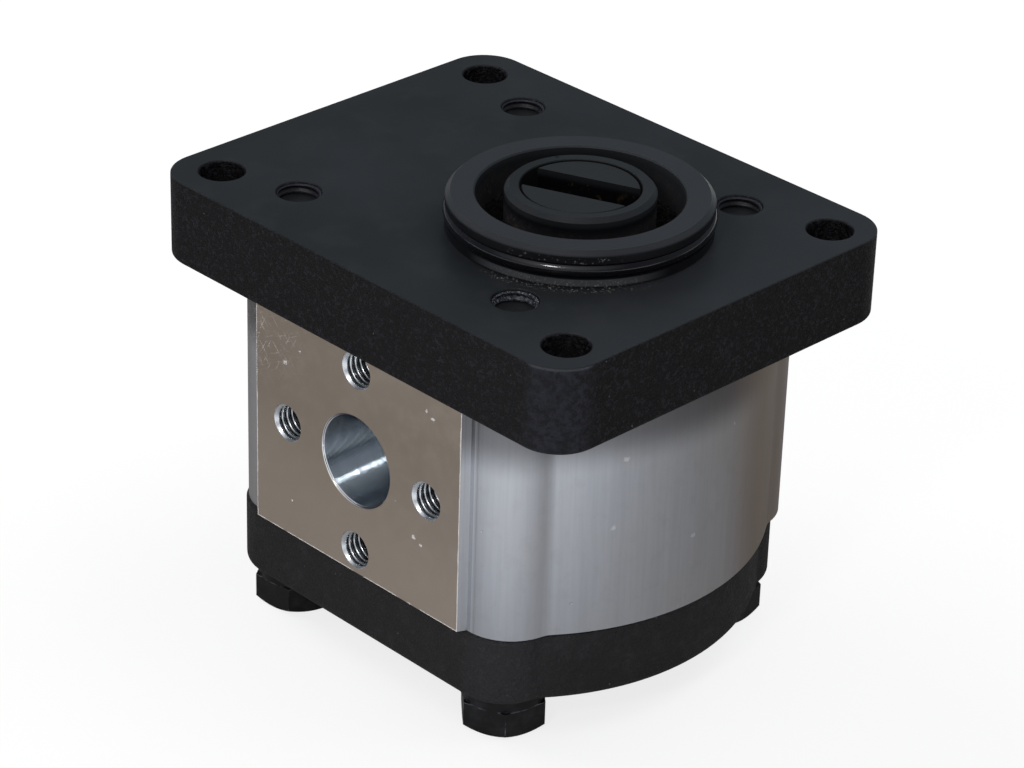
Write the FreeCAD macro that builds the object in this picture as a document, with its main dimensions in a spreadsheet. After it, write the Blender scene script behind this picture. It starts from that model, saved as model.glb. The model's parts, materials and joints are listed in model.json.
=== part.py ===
import FreeCAD, Part
import math
import os
import re
import Sketcher

# Single external gear pump, millimetres.
# The origin is where the drive shaft's axis meets the flange's mounting face.
# +Z points out of that face, towards the engine, and the idler lies towards -X.
# The pump stands on its four bolt heads, as it does on a bench.

SIZES = {
    # how far a cut starts outside the piece it cuts
    "cut_overrun": 1,
    # gears and their shafts
    "tooth_count": 12,
    "gear_distance": 33,
    "pressure_angle": 25,
    "addendum_factor": 1,
    "dedendum_factor": 1.25,
    "backlash": 0.12,
    "tooth_root_fillet": 0.7,
    "space_overrun": 0.5,
    "gear_width": 20,
    "journal_radius": 9,
    "journal_end_gap": 0.8,
    "shaft_chamfer": 0.6,
    "running_clearance": 0.05,
    "side_clearance": 0.05,
    # bearings
    "bush_wall": 1.25,
    "bush_end_gap": 1,
    "block_clearance": 0.03,
    "relief_width": 5,
    "relief_length": 7,
    "relief_depth": 1.5,
    "relief_offset": 6.5,
    # block seals and their backing rings
    "block_seal_radius": 12.8,
    "block_seal_width": 1.8,
    "block_seal_depth": 2.2,
    "backing_width": 1.1,
    "seal_bridge_width": 3,
    # gear body
    "body_length": 50,
    "body_boss_radius": 11,
    "body_end_inset": 2.15,
    "body_shift_x": 0.2,
    "body_shift_y": 0.8,
    "body_pad_step": 0.25,
    "body_pad_run": 0.9,
    "body_blend_radius": 5,
    "chamber_clearance": 0.05,
    "inlet_radius": 9.5,
    "inlet_passage_radius": 8,
    "inlet_circle": 40,
    "inlet_tap_radius": 4,
    "outlet_radius": 6.5,
    "outlet_passage_radius": 5.5,
    "outlet_circle": 30,
    "outlet_tap_radius": 3,
    "port_depth": 22,
    "passage_depth": 34,
    "port_chamfer": 0.4,
    "tap_depth": 15,
    # body bolts
    "bolt_span_x": 60.6,
    "bolt_span_y": 60.9,
    "bolt_radius": 5,
    "bolt_core_radius": 4.3,
    "bolt_clearance": 0.5,
    "core_clearance": 0.05,
    "bolt_recess": 2.4,
    "head_across_flats": 16,
    "head_height": 6,
    "head_chamfer_factor": 0.97,
    "front_head_turn": 19,
    "left_head_turn": 5,
    "right_head_turn": 38,
    "back_head_turn": 22,
    "washer_radius": 8.45,
    "washer_thickness": 2.5,
    "washer_gap": 0.15,
    "washer_slit": 1.2,
    # mounting flange
    "flange_thickness": 18,
    "hole_span_x": 96.2,
    "hole_span_y": 71.5,
    "shaft_to_holes": 32.5,
    "hole_radius": 4.5,
    "hole_mouth": 0.4,
    "drive_end_width": 8.35,
    "idler_end_width": 9.7,
    "side_width": 9.85,
    "corner_radius": 8.8,
    "flange_top_round": 0.3,
    "flange_bottom_round": 0.9,
    # pilot, hub and driver
    "pilot_radius": 26,
    "pilot_height": 7.5,
    "pilot_chamfer": 1,
    "pilot_inner_radius": 20.3,
    "pilot_inner_chamfer": 0.3,
    "recess_depth": 6,
    "ring_groove_floor": 23.6,
    "ring_groove_low": 2,
    "ring_groove_width": 3,
    "ring_squeeze": 0.1,
    "hub_radius": 14.7,
    "hub_height": 8.7,
    "hub_chamfer": 0.9,
    "driver_radius": 11.5,
    "driver_clearance": 0.2,
    "driver_height": 8.5,
    "driver_length": 12,
    "driver_chamfer": 0.3,
    "slot_width": 8,
    "slot_depth": 5,
    "slot_angle": 23,
    "tang_clearance": 0.1,
    "tang_engagement": 4.6,
    "driver_floor_gap": 0.4,
    # shaft seal
    "seal_shaft_radius": 8,
    "seal_outer_radius": 14,
    "seal_width": 7,
    "seal_pocket_depth": 8,
    "seal_case": 1.2,
    "seal_case_gap": 0.4,
    "lip_length": 2.2,
    "lip_width": 2.2,
    "lip_heel": 0.9,
    "bore_clearance": 0.6,
    # rear cover
    "cover_thickness": 15.4,
    "cover_boss_radius": 10.5,
    "cover_end_inset": 2.15,
    "cover_blend_radius": 5,
    "cover_shift_x": -0.15,
    "cover_shift_y": -0.15,
    "cover_bottom_round": 2,
    "cover_top_chamfer": 0.6,
    # seals between the housings, and dowels
    "face_seal_radius": 20.9,
    "face_seal_width": 2,
    "face_seal_depth": 1.9,
    "face_seal_round": 0.4,
    "dowel_radius": 2.5,
    "dowel_length": 12,
    "dowel_x": 40,
    "dowel_y": 14,
    "dowel_chamfer": 0.4,
}

doc = FreeCAD.newDocument("gear_pump")
sheet = doc.addObject("Spreadsheet::Sheet", "Sizes")
for row, (alias, size) in enumerate(SIZES.items(), 1):
    sheet.set("A%d" % row, alias)
    sheet.set("B%d" % row, str(size))
    sheet.setAlias("B%d" % row, alias)
doc.recompute()

# Places worked out from the sizes, as expressions of the sheet
MIDDLE_X = "(-gear_distance / 2)"
PITCH_X = "(shaft_to_holes - hole_span_x / 2)"
GEAR_MODULE = "(gear_distance / tooth_count)"
TIP_RADIUS = "(gear_distance / 2 + addendum_factor * %s)" % GEAR_MODULE
ROOT_RADIUS = "(gear_distance / 2 - dedendum_factor * %s)" % GEAR_MODULE
CHAMBER_RADIUS = "(%s + chamber_clearance)" % TIP_RADIUS
BUSH_RADIUS = "(journal_radius + running_clearance + bush_wall)"
BLOCK_LENGTH = "((body_length - gear_width) / 2 - side_clearance)"
BODY_BOTTOM = "(-flange_thickness - body_length)"
COVER_BOTTOM = "(%s - cover_thickness)" % BODY_BOTTOM
HEAD_TOP = "(%s - washer_thickness)" % COVER_BOTTOM
PORT_HEIGHT = "(body_length / 2)"
GEAR_BOTTOM = "(%s + (body_length - gear_width) / 2)" % BODY_BOTTOM
BOLT_HOLE = "(bolt_radius + bolt_clearance)"
BOLT_REACH = "hypot(bolt_span_x / 2; bolt_span_y / 2)"
BOSS_TOP = "(bolt_span_y / 2 + body_boss_radius)"
PAD_HEIGHT = "(%s + body_shift_y + body_pad_step)" % BOSS_TOP
DRIVER_POCKET = "(driver_radius + driver_clearance)"
DRIVER_BOTTOM = "(driver_height - driver_length)"

PARTS = []


def sized(expression):
    """The expression with the sheet's name put before each of its sizes."""
    return re.sub(r"[a-z]\w+", lambda word: ("Sizes." if word.group() in SIZES else "") + word.group(),
                  expression)


def number(expression):
    """The present value of an expression of the sheet."""
    return float(sheet.evalExpression(sized(expression)))


def bind(target, **properties):
    """Ties each named property to its expression, with __ standing for a dot in the name."""
    for name, expression in properties.items():
        target.setExpression(name.replace("__", "."), sized(expression))


def new_body(name, x="0", y="0", z="0"):
    """A sub-part of its own, placed from the sheet."""
    body = doc.addObject("PartDesign::Body", name)
    body.Label = name
    bind(body, Placement__Base__x=x, Placement__Base__y=y, Placement__Base__z=z)
    PARTS.append(body)
    return body


def new_sketch(body, name, plane="XY_Plane", lift="0"):
    """A sketch on one of the body's own origin planes, lifted along that plane's normal."""
    sketch = body.newObject("Sketcher::SketchObject", name)
    support = [feature for feature in body.Origin.OriginFeatures if feature.Role == plane][0]
    sketch.AttachmentSupport = [(support, "")]
    sketch.MapMode = "FlatFace"
    bind(sketch, AttachmentOffset__Base__z=lift)
    return sketch


def hold(sketch, kind, expression, *geometry):
    """A sketch dimension tied to the sheet."""
    index = sketch.addConstraint(Sketcher.Constraint(kind, *geometry, number(expression)))
    sketch.setExpression("Constraints[%d]" % index, sized(expression))


def circle(sketch, x, y, radius):
    """A full circle about x, y."""
    centre = FreeCAD.Vector(number(x), number(y), 0)
    edge = sketch.addGeometry(Part.Circle(centre, FreeCAD.Vector(0, 0, 1), number(radius)))
    hold(sketch, "DistanceX", x, edge, 3)
    hold(sketch, "DistanceY", y, edge, 3)
    hold(sketch, "Radius", radius, edge)


def polygon(sketch, corners):
    """A closed outline of straight edges through corners, each an x and a y expression."""
    places = [FreeCAD.Vector(number(x), number(y), 0) for x, y in corners]
    first = sketch.GeometryCount
    for index, place in enumerate(places):
        sketch.addGeometry(Part.LineSegment(place, places[(index + 1) % len(places)]))
    for index, (x, y) in enumerate(corners):
        following = first + (index + 1) % len(corners)
        sketch.addConstraint(Sketcher.Constraint("Coincident", first + index, 2, following, 1))
        hold(sketch, "DistanceX", x, first + index, 1)
        hold(sketch, "DistanceY", y, first + index, 1)


def rectangle(sketch, x, y, half_x, half_y):
    """A rectangle about x, y."""
    low_x, high_x = "%s - %s" % (x, half_x), "%s + %s" % (x, half_x)
    low_y, high_y = "%s - %s" % (y, half_y), "%s + %s" % (y, half_y)
    polygon(sketch, [(low_x, low_y), (high_x, low_y), (high_x, high_y), (low_x, high_y)])


def racetrack(sketch, radius):
    """A loop round both gear axes: half circles about them, joined by straight runs."""
    up, reach = FreeCAD.Vector(0, 0, 1), number(radius)
    left, right = number("-gear_distance"), 0
    arcs = []
    for x, start in ((right, -math.pi / 2), (left, math.pi / 2)):
        whole = Part.Circle(FreeCAD.Vector(x, 0, 0), up, reach)
        arcs.append(sketch.addGeometry(Part.ArcOfCircle(whole, start, start + math.pi)))
    runs = []
    for height, ends in ((reach, (right, left)), (-reach, (left, right))):
        places = [FreeCAD.Vector(x, height, 0) for x in ends]
        runs.append(sketch.addGeometry(Part.LineSegment(*places)))
    top, low = runs
    for arc, arc_end, line, line_end in ((arcs[0], 2, top, 1), (arcs[1], 1, top, 2),
                                         (arcs[1], 2, low, 1), (arcs[0], 1, low, 2)):
        sketch.addConstraint(Sketcher.Constraint("Tangent", arc, arc_end, line, line_end))
    sketch.addConstraint(Sketcher.Constraint("Equal", arcs[0], arcs[1]))
    sketch.addConstraint(Sketcher.Constraint("PointOnObject", arcs[0], 3, -1))
    sketch.addConstraint(Sketcher.Constraint("PointOnObject", arcs[1], 3, -1))
    hold(sketch, "DistanceX", "0", arcs[0], 3)
    hold(sketch, "DistanceX", "-gear_distance", arcs[1], 3)
    hold(sketch, "Radius", radius, arcs[0])


def add(body, kind, name, profile, **properties):
    """A feature from a sketch. One that changes no volume points the wrong way and stops the build."""
    before = body.Shape.Volume if body.Tip else 0.0
    feature = body.newObject("PartDesign::" + kind, name)
    feature.Profile = profile
    if kind in ("Revolution", "Groove"):
        feature.ReferenceAxis = (profile, ["V_Axis"])
        feature.Angle = 360
    through = properties.pop("through", False)
    feature.Reversed = properties.pop("reverse", False)
    if through:
        feature.Type = "ThroughAll"
    bind(feature, **properties)
    doc.recompute()
    if abs(body.Shape.Volume - before) < 0.01:
        raise RuntimeError(body.Label + ": " + name + " changed nothing")
    return feature


def edges_where(shape, test):
    """Names of the edges whose every end and middle pass the test."""
    names = []
    for index, edge in enumerate(shape.Edges, 1):
        middle = edge.valueAt((edge.FirstParameter + edge.LastParameter) / 2)
        if all(test(place) for place in [vertex.Point for vertex in edge.Vertexes] + [middle]):
            names.append("Edge%d" % index)
    return names


def dress(body, kind, name, size, test):
    """A Fillet or Chamfer of the given size on the edges that pass the test."""
    base = body.Tip
    names = edges_where(base.Shape, test)
    if not names:
        raise RuntimeError(body.Label + ": " + name + " found no edge")
    feature = body.newObject("PartDesign::" + kind, name)
    feature.Base = (base, names)
    bind(feature, **{"Radius" if kind == "Fillet" else "Size": size})
    doc.recompute()
    return feature


def near(value, target):
    return abs(value - target) < 1e-3


def four_corners(x, y, span_x, span_y):
    """The four corners of a rectangle about x, y, as expressions."""
    return [("%s %s %s / 2" % (x, side, span_x), "%s %s %s / 2" % (y, way, span_y))
            for side in "+-" for way in "+-"]


BOLT_PLACES = four_corners(MIDDLE_X, "0", "bolt_span_x", "bolt_span_y")


def cast_outline(body, height, boss_radius, end_inset, blend, shift_x, shift_y):
    """A housing's outline, raised to a height: a round boss about each bolt, straight sides
    that touch the bosses, and a round barrel about the middle of the two gears, set in a
    little from the bosses' far sides. The barrel is cut flat along the sides, within the
    bosses. Each boss blends into the barrel. The whole outline lies off the bolts by a shift."""
    x, y = "(%s + %s)" % (MIDDLE_X, shift_x), "(0 + %s)" % shift_y
    end_radius = "(%s + %s - %s)" % (BOLT_REACH, boss_radius, end_inset)
    side = "(bolt_span_y / 2 + %s)" % boss_radius
    barrel = new_sketch(body, body.Label + "_barrel_sketch")
    circle(barrel, x, y, end_radius)
    add(body, "Pad", body.Label + "_barrel", barrel, Length=height)
    flats = new_sketch(body, body.Label + "_flats_sketch", lift=height)
    for way in ("+", "-"):
        edge = "%s %s (%s - %s / 2)" % (y, way, side, boss_radius)
        outer = "%s %s (%s + cut_overrun)" % (y, way, end_radius)
        low_x, high_x = "%s - %s" % (x, end_radius), "%s + %s" % (x, end_radius)
        polygon(flats, [(low_x, edge), (high_x, edge), (high_x, outer), (low_x, outer)])
    add(body, "Pocket", body.Label + "_flats", flats, through=True)
    sides = new_sketch(body, body.Label + "_sides_sketch")
    rectangle(sides, x, y, "(bolt_span_x / 2)", side)
    add(body, "Pad", body.Label + "_sides", sides, Length=height)
    boss_places = four_corners(x, y, "bolt_span_x", "bolt_span_y")
    bosses = new_sketch(body, body.Label + "_bosses_sketch")
    for boss_x, boss_y in boss_places:
        circle(bosses, boss_x, boss_y, boss_radius)
    add(body, "Pad", body.Label + "_bosses", bosses, Length=height)
    centre = FreeCAD.Vector(number(x), number(y), 0)
    middles = [FreeCAD.Vector(number(boss_x), number(boss_y), 0) for boss_x, boss_y in boss_places]

    def boss_meets_barrel(place):
        flat = FreeCAD.Vector(place.x, place.y, 0)
        from_boss = min(flat.distanceToPoint(middle) for middle in middles)
        return (near(flat.distanceToPoint(centre), number(end_radius))
                and near(from_boss, number(boss_radius)))

    dress(body, "Fillet", body.Label + "_blends", blend, boss_meets_barrel)


def port_pads(body, height):
    """A raised pad along each port side, sloping down at its ends to the outline's side."""
    pads = new_sketch(body, "port_pads_sketch")
    half_foot = "(bolt_span_x / 2 - body_shift_x)"
    half_top = "(%s - body_pad_run)" % half_foot
    for way in ("+", "-"):
        inside = "(0 %s bolt_span_y / 2)" % way
        foot = "(body_shift_y %s %s)" % (way, BOSS_TOP)
        top = "(0 %s %s)" % (way, PAD_HEIGHT)
        corners = [("-", half_foot, inside), ("-", half_foot, foot), ("-", half_top, top),
                   ("+", half_top, top), ("+", half_foot, foot), ("+", half_foot, inside)]
        polygon(pads, [("%s %s %s" % (MIDDLE_X, side, reach), y) for side, reach, y in corners])
    add(body, "Pad", "port_pads", pads, Length=height)


def face_seal_groove(body, lift, upward):
    """The groove for the seal round both gear bores, cut into a joint face."""
    track = new_sketch(body, body.Label + "_seal_track", lift=lift)
    racetrack(track, "face_seal_radius")
    racetrack(track, "face_seal_radius + face_seal_width")
    add(body, "Pocket", body.Label + "_seal_groove", track, reverse=upward, Length="face_seal_depth")


def dowel_places():
    """Two dowels on a diagonal, clear of the bolts and the seal."""
    return [("%s + dowel_x" % MIDDLE_X, "0 - dowel_y"), ("%s - dowel_x" % MIDDLE_X, "0 + dowel_y")]


def dowel_holes(body, name, lift, upward):
    holes = new_sketch(body, name + "_sketch", lift=lift)
    for x, y in dowel_places():
        circle(holes, x, y, "dowel_radius")
    add(body, "Pocket", name, holes, reverse=upward, Length="dowel_length / 2")


def mounting_flange():
    """The cast front cover: a rectangular flange with the pilot, the hub round the driver and
    the shaft seal's pocket. Its own Z starts at its underside."""
    body = new_body("mounting_flange", z="-flange_thickness")
    top = "flange_thickness"
    plate = new_sketch(body, "flange_plate_sketch")
    low_x = "shaft_to_holes - hole_span_x - idler_end_width"
    high_x = "shaft_to_holes + drive_end_width"
    low_y = "0 - hole_span_y / 2 - side_width"
    high_y = "hole_span_y / 2 + side_width"
    polygon(plate, [(low_x, low_y), (high_x, low_y), (high_x, high_y), (low_x, high_y)])
    add(body, "Pad", "flange_plate", plate, Length=top)

    def upright_corner(place):
        return ((near(place.x, number(low_x)) or near(place.x, number(high_x)))
                and (near(place.y, number(low_y)) or near(place.y, number(high_y))))

    dress(body, "Fillet", "flange_corners", "corner_radius", upright_corner)
    dress(body, "Fillet", "flange_top_edge", "flange_top_round", lambda place: near(place.z, number(top)))
    dress(body, "Fillet", "flange_bottom_edge", "flange_bottom_round", lambda place: near(place.z, 0))

    face, brim, crown = top, top + " + pilot_height", top + " + hub_height"
    spigot = new_sketch(body, "pilot_sketch", "XZ_Plane")
    polygon(spigot, [("0", face + " - cut_overrun"), ("pilot_radius", face + " - cut_overrun"),
                     ("pilot_radius", brim + " - pilot_chamfer"), ("pilot_radius - pilot_chamfer", brim),
                     ("hub_radius", brim), ("hub_radius", crown + " - hub_chamfer"),
                     ("hub_radius - hub_chamfer", crown), ("0", crown)])
    add(body, "Revolution", "pilot_and_hub", spigot)
    recess = new_sketch(body, "recess_sketch", "XZ_Plane")
    floor = face + " - recess_depth"
    polygon(recess, [("hub_radius", floor), ("pilot_inner_radius", floor),
                     ("pilot_inner_radius", brim + " - pilot_inner_chamfer"),
                     ("pilot_inner_radius + pilot_inner_chamfer * 2", brim + " + pilot_inner_chamfer"),
                     ("hub_radius", brim + " + pilot_inner_chamfer")])
    add(body, "Groove", "annular_recess", recess)
    ring_low = face + " + ring_groove_low"
    ring_high = ring_low + " + ring_groove_width"
    ring = new_sketch(body, "ring_groove_sketch", "XZ_Plane")
    polygon(ring, [("ring_groove_floor", ring_low), ("pilot_radius + cut_overrun", ring_low),
                   ("pilot_radius + cut_overrun", ring_high), ("ring_groove_floor", ring_high)])
    add(body, "Groove", "o_ring_groove", ring)
    bore = new_sketch(body, "bore_sketch", "XZ_Plane")
    shelf = top + " + %s - driver_floor_gap" % DRIVER_BOTTOM
    polygon(bore, [("0", "0 - cut_overrun"), ("seal_outer_radius", "0 - cut_overrun"),
                   ("seal_outer_radius", "seal_pocket_depth"),
                   ("seal_shaft_radius + bore_clearance", "seal_pocket_depth"),
                   ("seal_shaft_radius + bore_clearance", shelf), (DRIVER_POCKET, shelf),
                   (DRIVER_POCKET, crown + " - driver_chamfer"),
                   (DRIVER_POCKET + " + driver_chamfer * 2", crown + " + driver_chamfer"),
                   ("0", crown + " + driver_chamfer")])
    add(body, "Groove", "shaft_bore", bore)

    holes = new_sketch(body, "flange_holes_sketch", lift=top)
    for x, y in four_corners(PITCH_X, "0", "hole_span_x", "hole_span_y"):
        circle(holes, x, y, "hole_radius")
    add(body, "Pocket", "flange_holes", holes, through=True)
    taps = new_sketch(body, "bolt_taps_sketch", lift=top)
    for x, y in BOLT_PLACES:
        circle(taps, x, y, "bolt_core_radius + core_clearance")
    add(body, "Pocket", "bolt_taps", taps, through=True)
    plain = four_corners(PITCH_X, "0", "hole_span_x", "hole_span_y")
    mouths = [(number(x), number(y), number("hole_radius")) for x, y in plain]
    mouths += [(number(x), number(y), number("bolt_core_radius + core_clearance")) for x, y in BOLT_PLACES]

    def hole_mouth(place):
        return near(place.z, number(top)) and any(near(math.hypot(place.x - x, place.y - y), reach)
                                                  for x, y, reach in mouths)

    dress(body, "Chamfer", "hole_mouths", "hole_mouth", hole_mouth)
    face_seal_groove(body, "0", upward=True)
    dowel_holes(body, "flange_dowel_holes", "0", upward=True)


def port(body, name, side, radius, passage_radius, bolt_circle, tap_radius):
    """A port bored into one side pad, with a narrower passage on to the gear chamber and four
    tapped holes on a circle."""
    lift = PAD_HEIGHT if side == "-" else "(0 - %s)" % PAD_HEIGHT
    inward = side == "+"
    for part, reach, depth in (("bore", radius, "port_depth"), ("passage", passage_radius, "passage_depth")):
        mouth = new_sketch(body, "%s_%s_sketch" % (name, part), "XZ_Plane", lift)
        circle(mouth, MIDDLE_X, PORT_HEIGHT, reach)
        add(body, "Pocket", "%s_%s" % (name, part), mouth, reverse=inward, Length=depth)
    face_y = number("0 %s %s" % (side, PAD_HEIGHT))
    middle = FreeCAD.Vector(number(MIDDLE_X), face_y, number(PORT_HEIGHT))

    def port_mouth(place):
        return near(place.y, face_y) and near(place.distanceToPoint(middle), number(radius))

    dress(body, "Chamfer", name + "_mouth", "port_chamfer", port_mouth)
    taps = new_sketch(body, name + "_taps_sketch", "XZ_Plane", lift)
    for x, z in (("+", ""), ("-", ""), ("", "+"), ("", "-")):
        circle(taps, MIDDLE_X + (" %s %s / 2" % (x, bolt_circle) if x else ""),
               PORT_HEIGHT + (" %s %s / 2" % (z, bolt_circle) if z else ""), tap_radius)
    add(body, "Pocket", name + "_taps", taps, reverse=inward, Length="tap_depth")


def gear_body():
    """The extruded body between the covers, with the two gear bores run together and a port
    on each side. Its own Z starts at its lower face."""
    body = new_body("gear_body", z=BODY_BOTTOM)
    cast_outline(body, "body_length", "body_boss_radius", "body_end_inset", "body_blend_radius",
                 "body_shift_x", "body_shift_y")
    port_pads(body, "body_length")
    for name, x in (("drive_bore", "0"), ("idler_bore", "-gear_distance")):
        chamber = new_sketch(body, name + "_sketch", lift="body_length")
        circle(chamber, x, "0", CHAMBER_RADIUS)
        add(body, "Pocket", name, chamber, through=True)
    holes = new_sketch(body, "body_bolt_holes_sketch", lift="body_length")
    for x, y in BOLT_PLACES:
        circle(holes, x, y, BOLT_HOLE)
    add(body, "Pocket", "body_bolt_holes", holes, through=True)
    port(body, "inlet", "-", "inlet_radius", "inlet_passage_radius", "inlet_circle", "inlet_tap_radius")
    port(body, "outlet", "+", "outlet_radius", "outlet_passage_radius", "outlet_circle", "outlet_tap_radius")
    dowel_holes(body, "body_top_dowel_holes", "body_length", upward=False)
    dowel_holes(body, "body_bottom_dowel_holes", "0", upward=True)


def rear_cover():
    """The cast rear cover, a plate of nearly the body's outline."""
    body = new_body("rear_cover", z=COVER_BOTTOM)
    cast_outline(body, "cover_thickness", "cover_boss_radius", "cover_end_inset", "cover_blend_radius",
                 "cover_shift_x", "cover_shift_y")
    dress(body, "Fillet", "cover_bottom_edge", "cover_bottom_round", lambda place: near(place.z, 0))
    dress(body, "Chamfer", "cover_top_edge", "cover_top_chamfer",
          lambda place: near(place.z, number("cover_thickness")))
    holes = new_sketch(body, "cover_bolt_holes_sketch", lift="cover_thickness")
    for x, y in BOLT_PLACES:
        circle(holes, x, y, BOLT_HOLE)
    add(body, "Pocket", "cover_bolt_holes", holes, through=True)
    face_seal_groove(body, "cover_thickness", upward=False)
    dowel_holes(body, "cover_dowel_holes", "cover_thickness", upward=False)


def tooth_space(sketch, middle_angle):
    """One space between two teeth, centred on an angle. Its flanks are involutes of the base
    circle down to that circle, then radial, with a round into the root circle. At a radius r
    the involute has turned by tan(a) - a from its start, where cos(a) is base radius over r."""
    pitch, root, tip = number("gear_distance / 2"), number(ROOT_RADIUS), number(TIP_RADIUS)
    pressure = math.radians(number("pressure_angle"))
    base, fillet, teeth = pitch * math.cos(pressure), number("tooth_root_fillet"), number("tooth_count")
    over_tip = tip + number("space_overrun")
    involute_at_pitch = math.tan(pressure) - pressure
    tooth_half = math.pi / (2 * teeth) - number("backlash") / (4 * pitch)

    def space_half(radius):
        angle = math.acos(min(1.0, base / radius))
        return math.pi / teeth - (tooth_half + involute_at_pitch - (math.tan(angle) - angle))

    def place(radius, angle):
        turn = middle_angle + angle
        return FreeCAD.Vector(radius * math.cos(turn), radius * math.sin(turn), 0)

    start = max(base, root)
    flat = space_half(start)
    round_angle = math.asin(fillet / (root + fillet))
    round_top = math.sqrt((root + fillet) ** 2 - fillet ** 2)
    steps = 8
    edges = []
    for side in (1, -1):
        radii = [start + (over_tip - start) * (step / steps) ** 2 for step in range(steps + 1)]
        flank = [place(radius, side * space_half(radius)) for radius in radii]
        spline = Part.BSplineCurve()
        spline.interpolate(flank)
        edges.append(spline)
        edges.append(Part.LineSegment(flank[0], place(round_top, side * flat)))
        knee = place(root + fillet, side * (flat - round_angle))
        inner = place(root, side * (flat - round_angle))
        bend = knee + ((inner - knee) + (place(round_top, side * flat) - knee)).normalize() * fillet
        edges.append(Part.Arc(place(round_top, side * flat), bend, inner))
    edges.append(Part.Arc(place(root, flat - round_angle), place(root, 0), place(root, round_angle - flat)))
    edges.append(Part.Arc(place(over_tip, space_half(over_tip)), place(over_tip, 0),
                          place(over_tip, -space_half(over_tip))))
    for edge in edges:
        index = sketch.addGeometry(edge)
        sketch.addConstraint(Sketcher.Constraint("Block", index))


def toothed_shaft(name, x, first_space, profile):
    """A gear in one piece with its shaft: the profile turned about its axis, then the spaces
    between its teeth cut round it. Its own Z starts at the gear's lower side."""
    body = new_body(name, x=x, z=GEAR_BOTTOM)
    turned = new_sketch(body, name + "_profile", "XZ_Plane")
    polygon(turned, profile)
    add(body, "Revolution", name + "_turned", turned)
    space = new_sketch(body, name + "_space_sketch", lift="gear_width")
    tooth_space(space, first_space)
    cut = add(body, "Pocket", name + "_space", space, Length="gear_width")
    teeth = body.newObject("PartDesign::PolarPattern", name + "_teeth")
    teeth.Originals = [cut]
    teeth.Axis = (turned, ["V_Axis"])
    teeth.Angle = 360
    bind(teeth, Occurrences="tooth_count")
    body.Tip = teeth
    doc.recompute()
    return body


def journal_profile(front_end):
    """Half the shaft from its rear end up to the gear's front side, then front_end's corners."""
    side_gap = "side_clearance"
    rear = "0 - %s - %s + journal_end_gap" % (BLOCK_LENGTH, side_gap)
    return [("0", rear), ("journal_radius - shaft_chamfer", rear),
            ("journal_radius", rear + " + shaft_chamfer"), ("journal_radius", "0"), (TIP_RADIUS, "0"),
            (TIP_RADIUS, "gear_width"), ("journal_radius", "gear_width")] + front_end


def gears():
    """The meshed pair. A tooth of the driving gear points at the idler, into one of its spaces."""
    half_pitch = math.pi / number("tooth_count")
    shoulder = "gear_width + %s + side_clearance" % BLOCK_LENGTH
    tang_top = "(0 - %s + %s + tang_engagement)" % (GEAR_BOTTOM, DRIVER_BOTTOM)
    drive = toothed_shaft("drive_gear", "0", math.pi - half_pitch, journal_profile(
        [("journal_radius", shoulder + " - shaft_chamfer"), ("seal_shaft_radius", shoulder),
         ("seal_shaft_radius", tang_top + " - shaft_chamfer"),
         ("seal_shaft_radius - shaft_chamfer", tang_top), ("0", tang_top)]))
    tang = new_sketch(drive, "tang_sketch", lift=tang_top)
    half, reach = "(slot_width / 2 - tang_clearance)", "(seal_shaft_radius + cut_overrun)"
    along_x, along_y = "cos(slot_angle + 90)", "sin(slot_angle + 90)"
    for side in ("+", "-"):
        corners = []
        for run, away in (("-", half), ("+", half), ("+", reach), ("-", reach)):
            corners.append(("0 %s %s * %s - (0 %s %s) * %s" % (run, reach, along_x, side, away, along_y),
                            "0 %s %s * %s + (0 %s %s) * %s" % (run, reach, along_y, side, away, along_x)))
        polygon(tang, corners)
    add(drive, "Pocket", "tang_flats", tang, Length="tang_engagement + driver_floor_gap")
    idler_end = "gear_width + %s + side_clearance - journal_end_gap" % BLOCK_LENGTH
    toothed_shaft("idler_gear", "-gear_distance", 0.0, journal_profile(
        [("journal_radius", idler_end + " - shaft_chamfer"),
         ("journal_radius - shaft_chamfer", idler_end), ("0", idler_end)]))


def drive_coupling():
    """The loose driver on the shaft's tang: a disc with a slot across each face, one at right
    angles to the other. The outer slot takes the engine's tang."""
    body = new_body("drive_coupling", z=DRIVER_BOTTOM)
    disc = new_sketch(body, "driver_sketch", "XZ_Plane")
    polygon(disc, [("0", "0"), ("driver_radius - driver_chamfer", "0"), ("driver_radius", "driver_chamfer"),
                   ("driver_radius", "driver_length - driver_chamfer"),
                   ("driver_radius - driver_chamfer", "driver_length"), ("0", "driver_length")])
    add(body, "Revolution", "driver_disc", disc)
    for name, turn, lift, depth, upward in (
            ("outer_slot", "slot_angle", "driver_length", "slot_depth", False),
            ("inner_slot", "slot_angle + 90", "0", "tang_engagement + driver_floor_gap", True)):
        slot = new_sketch(body, name + "_sketch", lift=lift)
        reach, half = "(driver_radius + cut_overrun)", "(slot_width / 2)"
        along_x, along_y = "cos(%s)" % turn, "sin(%s)" % turn
        polygon(slot, [("0 %s %s * %s - (0 %s %s) * %s" % (run, reach, along_x, side, half, along_y),
                        "0 %s %s * %s + (0 %s %s) * %s" % (run, reach, along_y, side, half, along_x))
                       for run, side in (("-", "-"), ("+", "-"), ("+", "+"), ("-", "+"))])
        add(body, "Pocket", name, slot, reverse=upward, Length=depth)


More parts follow.
